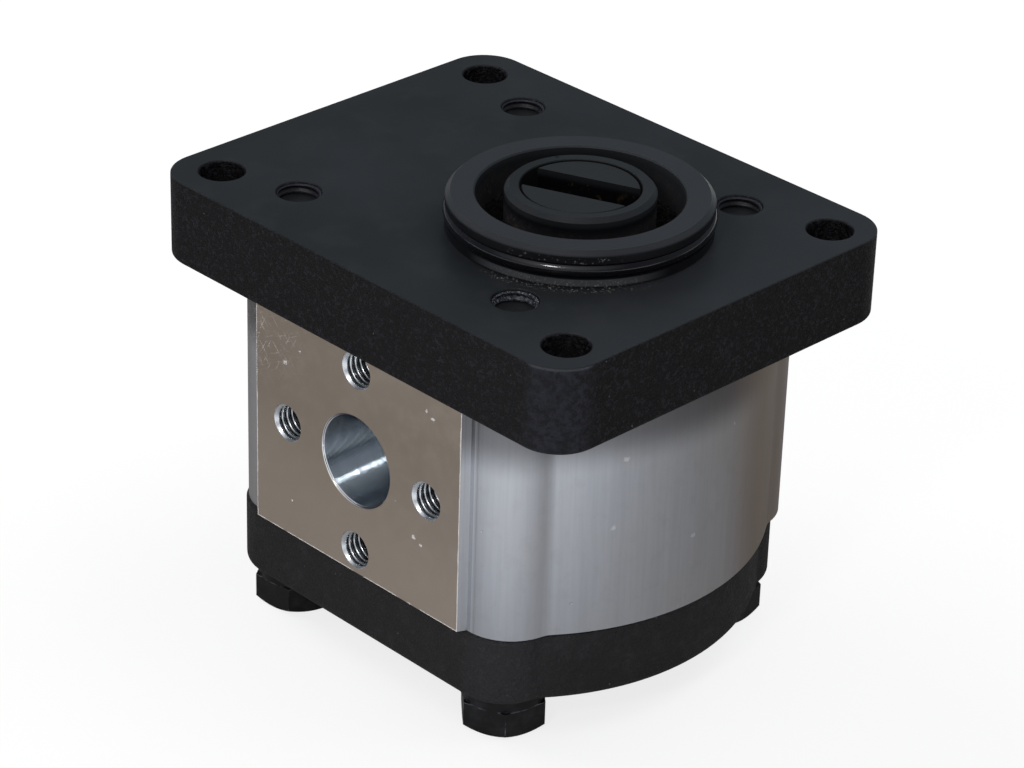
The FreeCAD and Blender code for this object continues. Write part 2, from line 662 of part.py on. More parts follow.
def seal_band(body, height, inner, width, lift="0", cut=False, upward=False):
    """A band round both journals, joined between them: two rings and a bridge."""
    kind, verb = ("Pocket", "groove") if cut else ("Pad", "band")
    for index, x in enumerate(("0", "-gear_distance")):
        ring = new_sketch(body, "%s_%s_ring_%d_sketch" % (body.Label, verb, index), lift=lift)
        circle(ring, x, "0", "%s + %s" % (inner, width))
        circle(ring, x, "0", inner)
        add(body, kind, "%s_%s_ring_%d" % (body.Label, verb, index), ring, reverse=upward, Length=height)
    bridge = new_sketch(body, "%s_%s_bridge_sketch" % (body.Label, verb), lift=lift)
    half_length = "(gear_distance / 2 - %s - %s / 2)" % (inner, width)
    rectangle(bridge, MIDDLE_X, "0", half_length, "(seal_bridge_width / 2)")
    add(body, kind, "%s_%s_bridge" % (body.Label, verb), bridge, reverse=upward, Length=height)


def bearing_block(name, bottom, outer_is_up):
    """A figure-of-eight block that carries both journals, with a seal groove in its outer face
    and two pockets in its gear face that let trapped oil out of the mesh."""
    body = new_body(name, z=bottom)
    for side, x in (("drive", "0"), ("idler", "-gear_distance")):
        lobe = new_sketch(body, "%s_%s_lobe_sketch" % (name, side))
        circle(lobe, x, "0", "%s - block_clearance" % CHAMBER_RADIUS)
        add(body, "Pad", "%s_%s_lobe" % (name, side), lobe, Length=BLOCK_LENGTH)
    bores = new_sketch(body, name + "_bores_sketch", lift=BLOCK_LENGTH)
    circle(bores, "0", "0", BUSH_RADIUS)
    circle(bores, "-gear_distance", "0", BUSH_RADIUS)
    add(body, "Pocket", name + "_bores", bores, through=True)
    outer, inner = (BLOCK_LENGTH, "0") if outer_is_up else ("0", BLOCK_LENGTH)
    seal_band(body, "block_seal_depth", "block_seal_radius - backing_width",
              "backing_width + block_seal_width", outer, cut=True, upward=not outer_is_up)
    relief = new_sketch(body, name + "_relief_sketch", lift=inner)
    for side in ("-", "+"):
        middle_y = "(0 %s relief_offset)" % side
        rectangle(relief, MIDDLE_X, middle_y, "(relief_width / 2)", "(relief_length / 2)")
    add(body, "Pocket", name + "_relief", relief, reverse=outer_is_up, Length="relief_depth")


def bushes(place, bottom):
    """A thin plain bush pressed into each bore of a block."""
    for side, x in (("drive", "0"), ("idler", "-gear_distance")):
        body = new_body("%s_%s_bush" % (place, side), x=x, z=bottom)
        inner = "journal_radius + running_clearance"
        low, high = "bush_end_gap / 2", "%s - bush_end_gap / 2" % BLOCK_LENGTH
        wall = new_sketch(body, body.Label + "_sketch", "XZ_Plane")
        polygon(wall, [(inner, low), (BUSH_RADIUS, low), (BUSH_RADIUS, high), (inner, high)])
        add(body, "Revolution", body.Label + "_wall", wall)


def block_seals(place, bottom):
    """The elastomer band in a block's outer face, and the stiff band that backs it inside."""
    seal = new_body(place + "_block_seal", z=bottom)
    seal_band(seal, "block_seal_depth", "block_seal_radius", "block_seal_width")
    backing = new_body(place + "_backing_ring", z=bottom)
    for index, x in enumerate(("0", "-gear_distance")):
        ring = new_sketch(backing, "%s_ring_%d_sketch" % (backing.Label, index))
        circle(ring, x, "0", "block_seal_radius")
        circle(ring, x, "0", "block_seal_radius - backing_width")
        add(backing, "Pad", "%s_ring_%d" % (backing.Label, index), ring, Length="block_seal_depth")


def face_seal(name, bottom):
    """The seal between a cover and the gear body, as it lies squeezed in its groove."""
    body = new_body(name, z=bottom)
    track = new_sketch(body, name + "_track")
    racetrack(track, "face_seal_radius")
    racetrack(track, "face_seal_radius + face_seal_width")
    add(body, "Pad", name + "_band", track, Length="face_seal_depth")


def shaft_seal():
    """The radial lip seal on the shaft: a stiff case, and a lip that runs on the shaft."""
    body = new_body("shaft_seal", z="seal_pocket_depth - flange_thickness - seal_width")
    section = new_sketch(body, "seal_section", "XZ_Plane")
    lip = "seal_shaft_radius + running_clearance"
    case_low = "seal_width - seal_case"
    edge = case_low + " - lip_length"
    polygon(section, [("seal_outer_radius", "0"), ("seal_outer_radius", "seal_width"),
                      (lip + " + seal_case_gap", "seal_width"), (lip + " + seal_case_gap", case_low),
                      (lip, edge), (lip + " + lip_heel", edge + " - lip_heel"),
                      (lip + " + lip_width", edge + " - lip_heel"), (lip + " + lip_width", case_low),
                      ("seal_outer_radius - seal_case", case_low), ("seal_outer_radius - seal_case", "0")])
    add(body, "Revolution", "seal_ring", section)


def pilot_o_ring():
    """The pilot's sealing ring, as it lies squeezed flush in the engine's bore."""
    body = new_body("pilot_o_ring")
    section = new_sketch(body, "o_ring_section", "XZ_Plane")
    low, high = "ring_groove_low + ring_squeeze", "ring_groove_low + ring_groove_width - ring_squeeze"
    corner = "(pilot_radius - ring_groove_floor) / 3"
    polygon(section, [("ring_groove_floor", low + " + " + corner), ("ring_groove_floor + " + corner, low),
                      ("pilot_radius - " + corner, low), ("pilot_radius", low + " + " + corner),
                      ("pilot_radius", high + " - " + corner), ("pilot_radius - " + corner, high),
                      ("ring_groove_floor + " + corner, high), ("ring_groove_floor", high + " - " + corner)])
    add(body, "Revolution", "o_ring", section)


def primitive(kind, name, **properties):
    shape = doc.addObject("Part::" + kind, name)
    bind(shape, **properties)
    return shape


def group(name, members):
    """Equal pieces that stay separate solids in one node."""
    compound = doc.addObject("Part::Compound", name)
    compound.Label = name
    compound.Links = members
    PARTS.append(compound)


def body_bolts():
    """Four hexagon bolts from below, through the cover and the body into the flange."""
    bolts = []
    corner = "(head_across_flats / 2 / cos(30))"
    face_radius = "head_across_flats / 2 * head_chamfer_factor"
    turns = ("right_head_turn", "front_head_turn", "back_head_turn", "left_head_turn")
    for index, ((x, y), turn) in enumerate(zip(BOLT_PLACES, turns)):
        head = primitive("Prism", "bolt_head_%d" % index, Circumradius=corner, Height="head_height",
                         Placement__Base__x=x, Placement__Base__y=y,
                         Placement__Base__z="%s - head_height" % HEAD_TOP,
                         Placement__Rotation__Angle=turn)
        head.Polygon = 6
        slope = primitive("Cone", "bolt_head_slope_%d" % index, Radius1=face_radius,
                          Radius2=face_radius + " + head_height / tan(30)", Height="head_height",
                          Placement__Base__x=x, Placement__Base__y=y,
                          Placement__Base__z="%s - head_height" % HEAD_TOP)
        worn = doc.addObject("Part::Common", "bolt_head_chamfered_%d" % index)
        worn.Base, worn.Tool = head, slope
        shank = primitive("Cylinder", "bolt_shank_%d" % index, Radius="bolt_radius",
                          Height="0 - flange_thickness - %s" % HEAD_TOP,
                          Placement__Base__x=x, Placement__Base__y=y, Placement__Base__z=HEAD_TOP)
        thread = primitive("Cylinder", "bolt_thread_%d" % index, Radius="bolt_core_radius",
                           Height="flange_thickness - bolt_recess",
                           Placement__Base__x=x, Placement__Base__y=y,
                           Placement__Base__z="0 - flange_thickness")
        bolt = doc.addObject("Part::MultiFuse", "bolt_%d" % index)
        bolt.Shapes = [worn, shank, thread]
        bolts.append(bolt)
    group("body_bolts", bolts)


def lock_washers():
    """A split spring washer under each bolt head."""
    washers = []
    for index, (x, y) in enumerate(BOLT_PLACES):
        spot = {"Placement__Base__x": x, "Placement__Base__y": y, "Placement__Base__z": HEAD_TOP}
        disc = primitive("Cylinder", "washer_disc_%d" % index, Radius="washer_radius",
                         Height="washer_thickness", **spot)
        hole = primitive("Cylinder", "washer_hole_%d" % index, Radius="bolt_radius + washer_gap",
                         Height="washer_thickness", **spot)
        ring = doc.addObject("Part::Cut", "washer_ring_%d" % index)
        ring.Base, ring.Tool = disc, hole
        slit = primitive("Box", "washer_slit_%d" % index, Length="washer_slit",
                         Width="washer_radius + cut_overrun", Height="washer_thickness * 2",
                         Placement__Base__x="%s - washer_slit / 2" % x, Placement__Base__y=y,
                         Placement__Base__z="%s - washer_thickness / 2" % HEAD_TOP)
        washer = doc.addObject("Part::Cut", "washer_%d" % index)
        washer.Base, washer.Tool = ring, slit
        washers.append(washer)
    group("lock_washers", washers)


def dowels(name, middle):
    """Two plain dowels that line one cover up with the gear body."""
    pins = []
    for index, (x, y) in enumerate(dowel_places()):
        pin = primitive("Cylinder", "%s_pin_%d" % (name, index), Radius="dowel_radius", Height="dowel_length",
                        Placement__Base__x=x, Placement__Base__y=y,
                        Placement__Base__z="%s - dowel_length / 2" % middle)
        pins.append(pin)
    group(name, pins)


mounting_flange()
gear_body()
rear_cover()
gears()
drive_coupling()
FRONT_BLOCK = "(0 - flange_thickness - %s)" % BLOCK_LENGTH
bearing_block("front_bearing_block", FRONT_BLOCK, outer_is_up=True)
bearing_block("rear_bearing_block", BODY_BOTTOM, outer_is_up=False)
bushes("front", FRONT_BLOCK)
bushes("rear", BODY_BOTTOM)
block_seals("front", "(0 - flange_thickness - block_seal_depth)")
block_seals("rear", BODY_BOTTOM)
face_seal("front_face_seal", "(0 - flange_thickness)")
face_seal("rear_face_seal", "(%s - face_seal_depth)" % BODY_BOTTOM)
shaft_seal()
pilot_o_ring()
body_bolts()
lock_washers()
dowels("front_dowels", "(0 - flange_thickness)")
dowels("rear_dowels", BODY_BOTTOM)
doc.recompute()

for item in doc.Objects:
    if "Invalid" in item.State or "Error" in item.State:
        raise RuntimeError(item.Name + " failed: " + str(item.State))
for part in PARTS:
    if part.Shape.isNull() or not part.Shape.isValid():
        raise RuntimeError(part.Label + " has no valid shape")

os.makedirs("parts", exist_ok=True)
for part in PARTS:
    part.Shape.exportStep("parts/%s.step" % part.Label)
    print(part.Label, len(part.Shape.Solids), round(part.Shape.Volume, 1))
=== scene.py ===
import json
import math

import bpy
import numpy as np
from mathutils import Matrix, Vector


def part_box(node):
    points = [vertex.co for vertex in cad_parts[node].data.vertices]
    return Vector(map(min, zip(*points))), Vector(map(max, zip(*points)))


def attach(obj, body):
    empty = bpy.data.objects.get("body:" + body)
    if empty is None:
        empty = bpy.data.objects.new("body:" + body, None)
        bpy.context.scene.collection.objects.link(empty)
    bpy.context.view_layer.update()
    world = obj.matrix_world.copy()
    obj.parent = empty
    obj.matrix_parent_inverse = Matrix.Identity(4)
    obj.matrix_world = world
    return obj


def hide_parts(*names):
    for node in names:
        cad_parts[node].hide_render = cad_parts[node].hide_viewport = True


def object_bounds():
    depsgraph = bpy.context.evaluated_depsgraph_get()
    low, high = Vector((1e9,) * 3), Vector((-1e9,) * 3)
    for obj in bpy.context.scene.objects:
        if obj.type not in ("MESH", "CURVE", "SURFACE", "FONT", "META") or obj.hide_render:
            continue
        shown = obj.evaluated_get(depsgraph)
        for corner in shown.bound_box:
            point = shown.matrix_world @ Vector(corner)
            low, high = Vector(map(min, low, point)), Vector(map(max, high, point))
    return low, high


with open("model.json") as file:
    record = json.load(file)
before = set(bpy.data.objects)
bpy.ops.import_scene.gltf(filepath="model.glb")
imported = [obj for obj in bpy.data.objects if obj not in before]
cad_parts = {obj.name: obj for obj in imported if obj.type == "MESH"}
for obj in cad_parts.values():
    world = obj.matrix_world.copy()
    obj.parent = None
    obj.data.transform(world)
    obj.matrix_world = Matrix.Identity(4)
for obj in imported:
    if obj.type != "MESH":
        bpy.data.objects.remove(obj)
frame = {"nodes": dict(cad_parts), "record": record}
cad_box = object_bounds()

MM = 0.001
MOUNTS = {mount["name"]: mount for mount in frame["record"]["mounts"]}

# Sizes of the solids that the looks follow, in millimetres of the frame. The pad's are measured
# from the ports' middle, and the corners' from the shaft's axis along the diagonal
PILOT_RADIUS = MOUNTS["pilot"]["dims"]["r_mm"]
RECESS_RADIUS = 20.3
HUB_RADIUS = 14.7
DRIVER_RADIUS = 11.5
GEAR_DISTANCE = 33.0
BOLT_SPAN = (60.6, 60.9)
BOLT_HOLE_RADIUS = 4.35
BODY_TOP, BODY_BOTTOM = -18.0, -68.0
PAD_HALF_WIDTH = 29.35
BESIDE_PAD = 30.6
PORT_REGION = 24.7
FLANGE_CORNER, COVER_CORNER = 57.4, 41.8
DIAGONAL = math.sqrt(0.5)

# Sizes of the looks, in millimetres, that the solids leave plain. A thread starts and ends its
# run below the mouth; its crest's foot and its flank are measured in pitches
THREADS = {
    "inlet": {"pitch": 1.25, "depth": 0.68, "start": 0.02, "run": 12.5, "lead": 0.68},
    "outlet": {"pitch": 1.0, "depth": 0.54, "start": 0.02, "run": 11.0, "lead": 0.54},
    "flange": {"pitch": 1.5, "depth": 0.4, "start": 0.42, "run": 2.36, "lead": 0.05},
}
CREST_FOOT, FLANK_WIDTH = 0.42, 0.29
SLEEVE_TURNS, ROWS_A_PITCH = 56, 12
SLEEVE_GAP, WALL_GAP = 0.01, 0.004
RING_CENTRE_RADIUS = 24.95
RING_HALF_WIDTH = 1.5
RING_HALF_HEIGHT = 1.5

# The tool's rings in the bored walls, in radians to the millimetre
RING_RATE = 22.0

# The side of the pilot that crumbs, painted glints and the painted highlight on the land lie on, between
# +X and -Y
GRIT_AND_HIGHLIGHT_SIDE = (0.62, -0.78)

# Where single marks lie: a nick in the hub and a smear of grease in the driver's slot
HUB_NICK = (-12.2, 5.6, 8.7)
SLOT_SMEAR = (6.4, 3.4, 5.9)

# Pale specks: x, z and reach on the inlet's face, then x, y, z and reach on the rounded end
FACE_SPECKS = ((-32.7, -25.6, 0.6), (-37.1, -29.6, 0.9), (5.1, -24.7, 0.8), (0.2, -52.5, 0.8),
               (2.2, -53.4, 0.6), (3.2, -23.6, 0.6), (-35.1, -60.0, 0.5))
END_SPECKS = ((31.2, -19.8, -45.5, 0.9), (35.4, -1.8, -52.4, 0.9), (32.0, -17.8, -30.8, 0.8))

# What bright surfaces mirror: tones along a direction, by its cosine for the sky and by metres
# from the pump's middle for the floor
SKY_DIRECTION = (0.295, -0.731, 0.616)
SKY = ((-1.0, (0.12, 0.14, 0.16)), (-0.45, (0.16, 0.19, 0.215)), (0.1, (0.15, 0.16, 0.17)),
       (0.6, (0.13, 0.14, 0.16)), (0.85, (0.5, 0.52, 0.55)), (1.0, (1.0, 1.0, 1.0)))
GROUND_DIRECTION = (0.5, -0.866, 0.0)
GROUND = ((-0.3, (0.75, 0.75, 0.75)), (-0.2, (0.35, 0.34, 0.33)), (-0.13, (0.02, 0.01, 0.0)),
          (-0.045, (0.04, 0.02, 0.005)), (0.0, (0.105, 0.095, 0.09)), (0.055, (0.23, 0.225, 0.225)),
          (0.085, (0.25, 0.255, 0.275)), (0.112, (0.5, 0.52, 0.575)), (0.15, (0.84, 0.87, 0.92)),
          (0.19, (0.95, 0.98, 1.0)))
FLOOR_SIZE = 8.0
FLOOR_GLOW = 0.8
WORLD_LIGHT = 0.4

# Each lamp: name, azimuth from -Y towards +X and elevation in degrees, distance and size in
# metres, power in watts, and whether bright surfaces show it
LAMPS = (("key_light", -75, 35, 1.1, 0.7, 9.0, False),
         ("top_light", 150, 62, 1.2, 0.9, 8.0, False),
         ("front_light", 22, 38, 1.1, 0.16, 2.2, True))
LAMP_TARGET = (-0.016, 0.0, -0.04)

# The photograph's viewpoint, in millimetres and degrees of the frame
CAMERA_PLACE = (437.4, -452.8, 311.4)
CAMERA_AZIMUTH = 45.1
CAMERA_ELEVATION = 28.82
CAMERA_ROLL = 1.78
SENSOR_WIDTH = 36.0
FOCAL_PIXELS = 3655.5
IMAGE_WIDTH = 1024


def add_grid(name, points, marks=None):
    """A closed mesh through a grid of points, in millimetres. Row i and column j meet rows i + 1
    and columns j + 1, and the last meets the first in both directions. If the volume under its
    faces comes out negative, the faces are turned round. marks gives named numbers to the
    points, for the material to read."""
    rows, columns = points.shape[:2]
    row, column = np.arange(rows)[:, None], np.arange(columns)[None, :]
    next_row, next_column = (row + 1) % rows, (column + 1) % columns
    corners = [row * columns + column, next_row * columns + column,
               next_row * columns + next_column, row * columns + next_column]
    faces = np.stack(np.broadcast_arrays(*corners), axis=-1).reshape(-1, 4)
    places = points.reshape(-1, 3) * MM
    a, b, c = (places[faces[:, k]] for k in (0, 1, 2))
    if np.einsum("ij,ij->i", a, np.cross(b, c)).sum() < 0:
        faces = faces[:, ::-1]
    mesh = bpy.data.meshes.new(name)
    mesh.from_pydata(places.tolist(), [], faces.tolist())
    mesh.polygons.foreach_set("use_smooth", np.ones(len(faces), dtype=bool))
    for label, numbers in (marks or {}).items():
        layer = mesh.attributes.new(label, "FLOAT", "POINT")
        layer.data.foreach_set("value", numbers.astype(np.float32).ravel())
    mesh.update()
    piece = bpy.data.objects.new(name, mesh)
    bpy.context.scene.collection.objects.link(piece)
    return piece


def join_pieces(name, pieces):
    """One piece out of several separate shells."""
    bpy.ops.object.select_all(action="DESELECT")
    for piece in pieces:
        piece.select_set(True)
    bpy.context.view_layer.objects.active = pieces[0]
    bpy.ops.object.join()
    pieces[0].name = name
    return pieces[0]


def axis_frame(direction):
    """Three unit vectors: two across a direction, and the direction itself."""
    along = np.array(direction, float)
    across = np.cross(along, (0.0, 0.0, 1.0) if abs(along[2]) < 0.9 else (1.0, 0.0, 0.0))
    across /= np.linalg.norm(across)
    return across, np.cross(along, across), along


def ring_section(height, radius, half_width, half_height, turns=160, steps=24):
    """A round ring about Z at a height: an ellipse of half_width by half_height, carried round
    a circle."""
    turn = np.linspace(0, 2 * np.pi, turns, endpoint=False)[:, None]
    step = np.linspace(0, 2 * np.pi, steps, endpoint=False)[None, :]
    reach = radius + half_width * np.cos(step)
    up = height + half_height * np.sin(step) + 0 * turn
    return np.stack([reach * np.cos(turn), reach * np.sin(turn), up], axis=-1)


def thread_sleeve(mouth, outward, wall_radius, form):
    """A female thread as a thin closed sleeve against a hole's wall. Going in from the mouth by
    s at the angle a, the inner radius is wall_radius less depth times a flat-topped triangle
    wave of s / pitch + a / 2 pi, and never less than wall_radius less s - start inside the
    lead, which is the cone at the mouth. Also gives each point's share of the groove's depth,
    1 at the bottom of the groove, and its share of the run."""
    start, run = form["start"], form["run"]
    across, up, along = axis_frame(outward)
    turn = np.linspace(0, 2 * np.pi, SLEEVE_TURNS, endpoint=False)[:, None]
    depth_in = np.linspace(start, run, int((run - start) / form["pitch"] * ROWS_A_PITCH))[None, :]
    phase = (depth_in / form["pitch"] + turn / (2 * np.pi)) % 1.0
    wave = np.clip((CREST_FOOT - np.abs(phase - 0.5)) / FLANK_WIDTH, 0.0, 1.0)
    cone = np.clip(1.0 - (depth_in - start) / form["lead"], 0.0, 1.0)
    groove = np.maximum(1.0 - wave, cone)
    inner = wall_radius - SLEEVE_GAP - form["depth"] * (1.0 - groove)
    outer = np.full((turn.size, 2), wall_radius - WALL_GAP)
    radius = np.concatenate([inner, outer], axis=1)
    inward = np.concatenate([depth_in[0], [run, start]])[None, :]
    ring = np.cos(turn)[..., None] * across + np.sin(turn)[..., None] * up
    points = np.array(mouth) + radius[..., None] * ring - inward[..., None] * along
    # The groove share that the thread finishes use for painted shade.
    dark = np.concatenate([np.where(cone > 0.02, 0.0, groove), np.ones((turn.size, 2))], axis=1)
    return points, {"groove": dark, "depth_share": (inward - start) / (run - start) + 0.0 * radius}


def port_threads(side):
    """The four threads of one port, on the circle and at the radius that its mount states."""
    mount = MOUNTS[side + "_bolts"]
    centre = np.array(mount["pos_m"]) / MM
    outward = np.array(mount["axis"], float)
    circle = mount["dims"]["pcd_mm"] / 2
    pieces = []
    for quarter in range(4):
        angle = quarter * math.pi / 2
        spot = centre + circle * np.array([math.cos(angle), 0.0, math.sin(angle)])
        points, marks = thread_sleeve(spot, outward, mount["dims"]["hole_r_mm"], THREADS[side])
        pieces.append(add_grid("%s_thread_%d" % (side, quarter), points, marks=marks))
    return join_pieces(side + "_threads", pieces)


def flange_threads():
    """The tops of the four threads that the body bolts screw into, above the bolts' ends."""
    pieces = []
    for index, (side, way) in enumerate(((-1, -1), (1, -1), (1, 1), (-1, 1))):
        spot = (side * BOLT_SPAN[0] / 2 - GEAR_DISTANCE / 2, way * BOLT_SPAN[1] / 2, 0.0)
        points, marks = thread_sleeve(spot, (0.0, 0.0, 1.0), BOLT_HOLE_RADIUS, THREADS["flange"])
        pieces.append(add_grid("flange_thread_%d" % index, points, marks=marks))
    return join_pieces("flange_threads", pieces)


class Finish:
    """A procedural finish. Each step adds one node and returns what comes out of it. Lengths
    are in millimetres of the object's own coordinates."""

    def __init__(self, name, colour, metallic, roughness, specular=0.5):
        self.material = bpy.data.materials.new(name)
        self.material.use_nodes = True
        tree = self.material.node_tree
        self.nodes, self.links = tree.nodes, tree.links
        self.surface = self.nodes["Principled BSDF"]
        self.surface.inputs["Base Color"].default_value = (*colour, 1.0)
        self.surface.inputs["Metallic"].default_value = metallic
        self.surface.inputs["Roughness"].default_value = roughness
        self.surface.inputs["Specular IOR Level"].default_value = specular
        where = self.nodes.new("ShaderNodeTexCoord")
        self.place = self.vector("SCALE", where.outputs["Object"], scale=1.0 / MM)
        self.x, self.y, self.z = self.split(self.place)
        self.last_bump = None

    def feed(self, socket, value):
        """Links what comes out of a node to a socket, or sets the socket to a fixed value."""
        if isinstance(value, bpy.types.NodeSocket):
            self.links.new(value, socket)
        else:
            socket.default_value = value

    def vector(self, operation, first, second=None, scale=None):
        """One step of arithmetic with vectors."""
        node = self.nodes.new("ShaderNodeVectorMath")
        node.operation = operation
        self.feed(node.inputs[0], first)
        if second is not None:
            self.feed(node.inputs[1], second)
        if scale is not None:
            node.inputs["Scale"].default_value = scale
        return node.outputs["Value" if operation == "LENGTH" else "Vector"]

    def split(self, value):
        """The three parts of a vector."""
        node = self.nodes.new("ShaderNodeSeparateXYZ")
        self.feed(node.inputs[0], value)
        return node.outputs[0], node.outputs[1], node.outputs[2]

    def join(self, x, y, z):
        """A vector from its three parts."""
        node = self.nodes.new("ShaderNodeCombineXYZ")
        for socket, value in zip(node.inputs, (x, y, z)):
            self.feed(socket, value)
        return node.outputs[0]

    def work(self, operation, first, second=0.0, third=None):
        """One step of arithmetic with numbers."""
        node = self.nodes.new("ShaderNodeMath")
        node.operation = operation
        self.feed(node.inputs[0], first)
        self.feed(node.inputs[1], second)
        if third is not None:
            self.feed(node.inputs[2], third)
        return node.outputs[0]

    def ramp(self, value, low, high, bottom=0.0, top=1.0):
        """bottom below low, top above high, and a smooth step between."""
        node = self.nodes.new("ShaderNodeMapRange")
        node.interpolation_type = "SMOOTHSTEP"
        self.feed(node.inputs["Value"], value)
        for name, number in (("From Min", low), ("From Max", high), ("To Min", bottom), ("To Max", top)):
            node.inputs[name].default_value = number
        return node.outputs["Result"]

    def below(self, value, full, end):
        """1 below full, 0 above end, and a smooth step between."""
        return self.ramp(value, full, end, 1.0, 0.0)

    def band(self, value, begin, rise, fall, end):
        """1 from rise to fall, 0 outside begin and end, and smooth steps between."""
        return self.times(self.ramp(value, begin, rise), self.below(value, fall, end))

    def times(self, *numbers):
        """The product of several numbers. Of shares, it is 1 only where each of them is 1."""
        product = numbers[0]
        for number in numbers[1:]:
            product = self.work("MULTIPLY", product, number)
        return product

    def either(self, *shares):
        """The greatest of the shares."""
        greatest = shares[0]
        for share in shares[1:]:
            greatest = self.work("MAXIMUM", greatest, share)
        return greatest

    def blend(self, share, first, second):
        """first where share is 0 and second where it is 1, for numbers."""
        node = self.nodes.new("ShaderNodeMix")
        self.feed(node.inputs["Factor"], share)
        self.feed(node.inputs["A"], first)
        self.feed(node.inputs["B"], second)
        return node.outputs["Result"]

    def tint(self, share, first, second):
        """first where share is 0 and second where it is 1, for colours."""
        node = self.nodes.new("ShaderNodeMix")
        node.data_type = "RGBA"
        self.feed(node.inputs["Factor"], share)
        for socket, value in ((node.inputs[6], first), (node.inputs[7], second)):
            self.feed(socket, value if isinstance(value, bpy.types.NodeSocket) else (*value, 1.0))
        return node.outputs[2]

    def noise(self, per_mm, detail, roughness, stretch=None, seed=0.0):
        """Even noise with about per_mm lumps to the millimetre, drawn out by stretch."""
        place = self.place if stretch is None else self.vector("MULTIPLY", self.place, stretch)
        node = self.nodes.new("ShaderNodeTexNoise")
        node.noise_dimensions = "4D"
        self.links.new(place, node.inputs["Vector"])
        node.inputs["W"].default_value = seed
        node.inputs["Scale"].default_value = per_mm
        node.inputs["Detail"].default_value = detail
        node.inputs["Roughness"].default_value = roughness
        return node.outputs[0]

    def line_noise(self, value, per_mm, detail, seed=0.0):
        """Noise that changes with one length only: lines across it."""
        node = self.nodes.new("ShaderNodeTexNoise")
        node.noise_dimensions = "2D"
        self.links.new(self.join(value, seed, 0.0), node.inputs["Vector"])
        node.inputs["Scale"].default_value = per_mm
        node.inputs["Detail"].default_value = detail
        return node.outputs[0]

    def pits(self, per_mm, size, seed):
        """Small separate spots: 1 inside a spot, 0 outside."""
        node = self.nodes.new("ShaderNodeTexVoronoi")
        node.inputs["Scale"].default_value = per_mm
        moved = self.vector("ADD", self.place, (seed, seed, seed))
        self.links.new(moved, node.inputs["Vector"])
        return self.below(node.outputs["Distance"], size * 0.6, size)

    def mark(self, spot, reach, seed):
        """A small mark with a ragged edge at one spot: 1 inside, 0 outside."""
        ragged = self.noise(1.4 / reach, 3.0, 0.6, seed=seed)
        away = self.vector("LENGTH", self.vector("SUBTRACT", self.place, spot))
        reached = self.work("MULTIPLY_ADD", ragged, reach * 2.4, away)
        return self.below(reached, reach * 1.5, reach * 1.9)

    def scratches(self, angle, seed):
        """Fine straight scratches on an upright face along X, all turned by an angle."""
        c, s = math.cos(math.radians(angle)), math.sin(math.radians(angle))
        along = self.work("ADD", self.times(self.x, c), self.times(self.z, s))
        across = self.work("SUBTRACT", self.times(self.z, c), self.times(self.x, s))
        node = self.nodes.new("ShaderNodeTexNoise")
        node.noise_dimensions = "3D"
        scaled = self.join(self.times(along, 0.2), self.times(across, 3.4), seed)
        self.links.new(scaled, node.inputs["Vector"])
        node.inputs["Scale"].default_value = 1.0
        node.inputs["Detail"].default_value = 2.0
        return self.ramp(node.outputs[0], 0.6, 0.68)

    def edges(self, reach):
        """1 along sharp outside edges and 0 on flat ground, within reach."""
        bevel = self.nodes.new("ShaderNodeBevel")
        bevel.samples = 6
        bevel.inputs["Radius"].default_value = reach * MM
        true = self.nodes.new("ShaderNodeNewGeometry").outputs["Normal"]
        node = self.nodes.new("ShaderNodeVectorMath")
        node.operation = "DOT_PRODUCT"
        self.links.new(bevel.outputs[0], node.inputs[0])
        self.links.new(true, node.inputs[1])
        return self.below(node.outputs["Value"], 0.9, 0.985)

    def read(self, label):
        """A number that the piece's points carry."""
        node = self.nodes.new("ShaderNodeAttribute")
        node.attribute_name = label
        return node.outputs["Fac"]

    def from_shaft(self):
        """Distance from the drive shaft's axis."""
        return self.vector("LENGTH", self.join(self.x, self.y, 0.0))

    def to_front_corner(self):
        """Distance from the shaft's axis towards +X and -Y, where the front corners are."""
        return self.times(self.work("SUBTRACT", self.x, self.y), DIAGONAL)

    def bump(self, height, depth, share):
        """Raises the surface by depth millimetres where height is 1, as far as share says."""
        node = self.nodes.new("ShaderNodeBump")
        self.feed(node.inputs["Strength"], share)
        node.inputs["Distance"].default_value = depth * MM
        self.links.new(height, node.inputs["Height"])
        if self.last_bump is not None:
            self.links.new(self.last_bump, node.inputs["Normal"])
        self.last_bump = node.outputs["Normal"]

    def finish(self, colour, roughness):
        """The material, with its colour, roughness and last bump linked to the surface."""
        self.links.new(colour, self.surface.inputs["Base Color"])
        self.links.new(roughness, self.surface.inputs["Roughness"])
        self.links.new(self.last_bump, self.surface.inputs["Normal"])
        return self.material


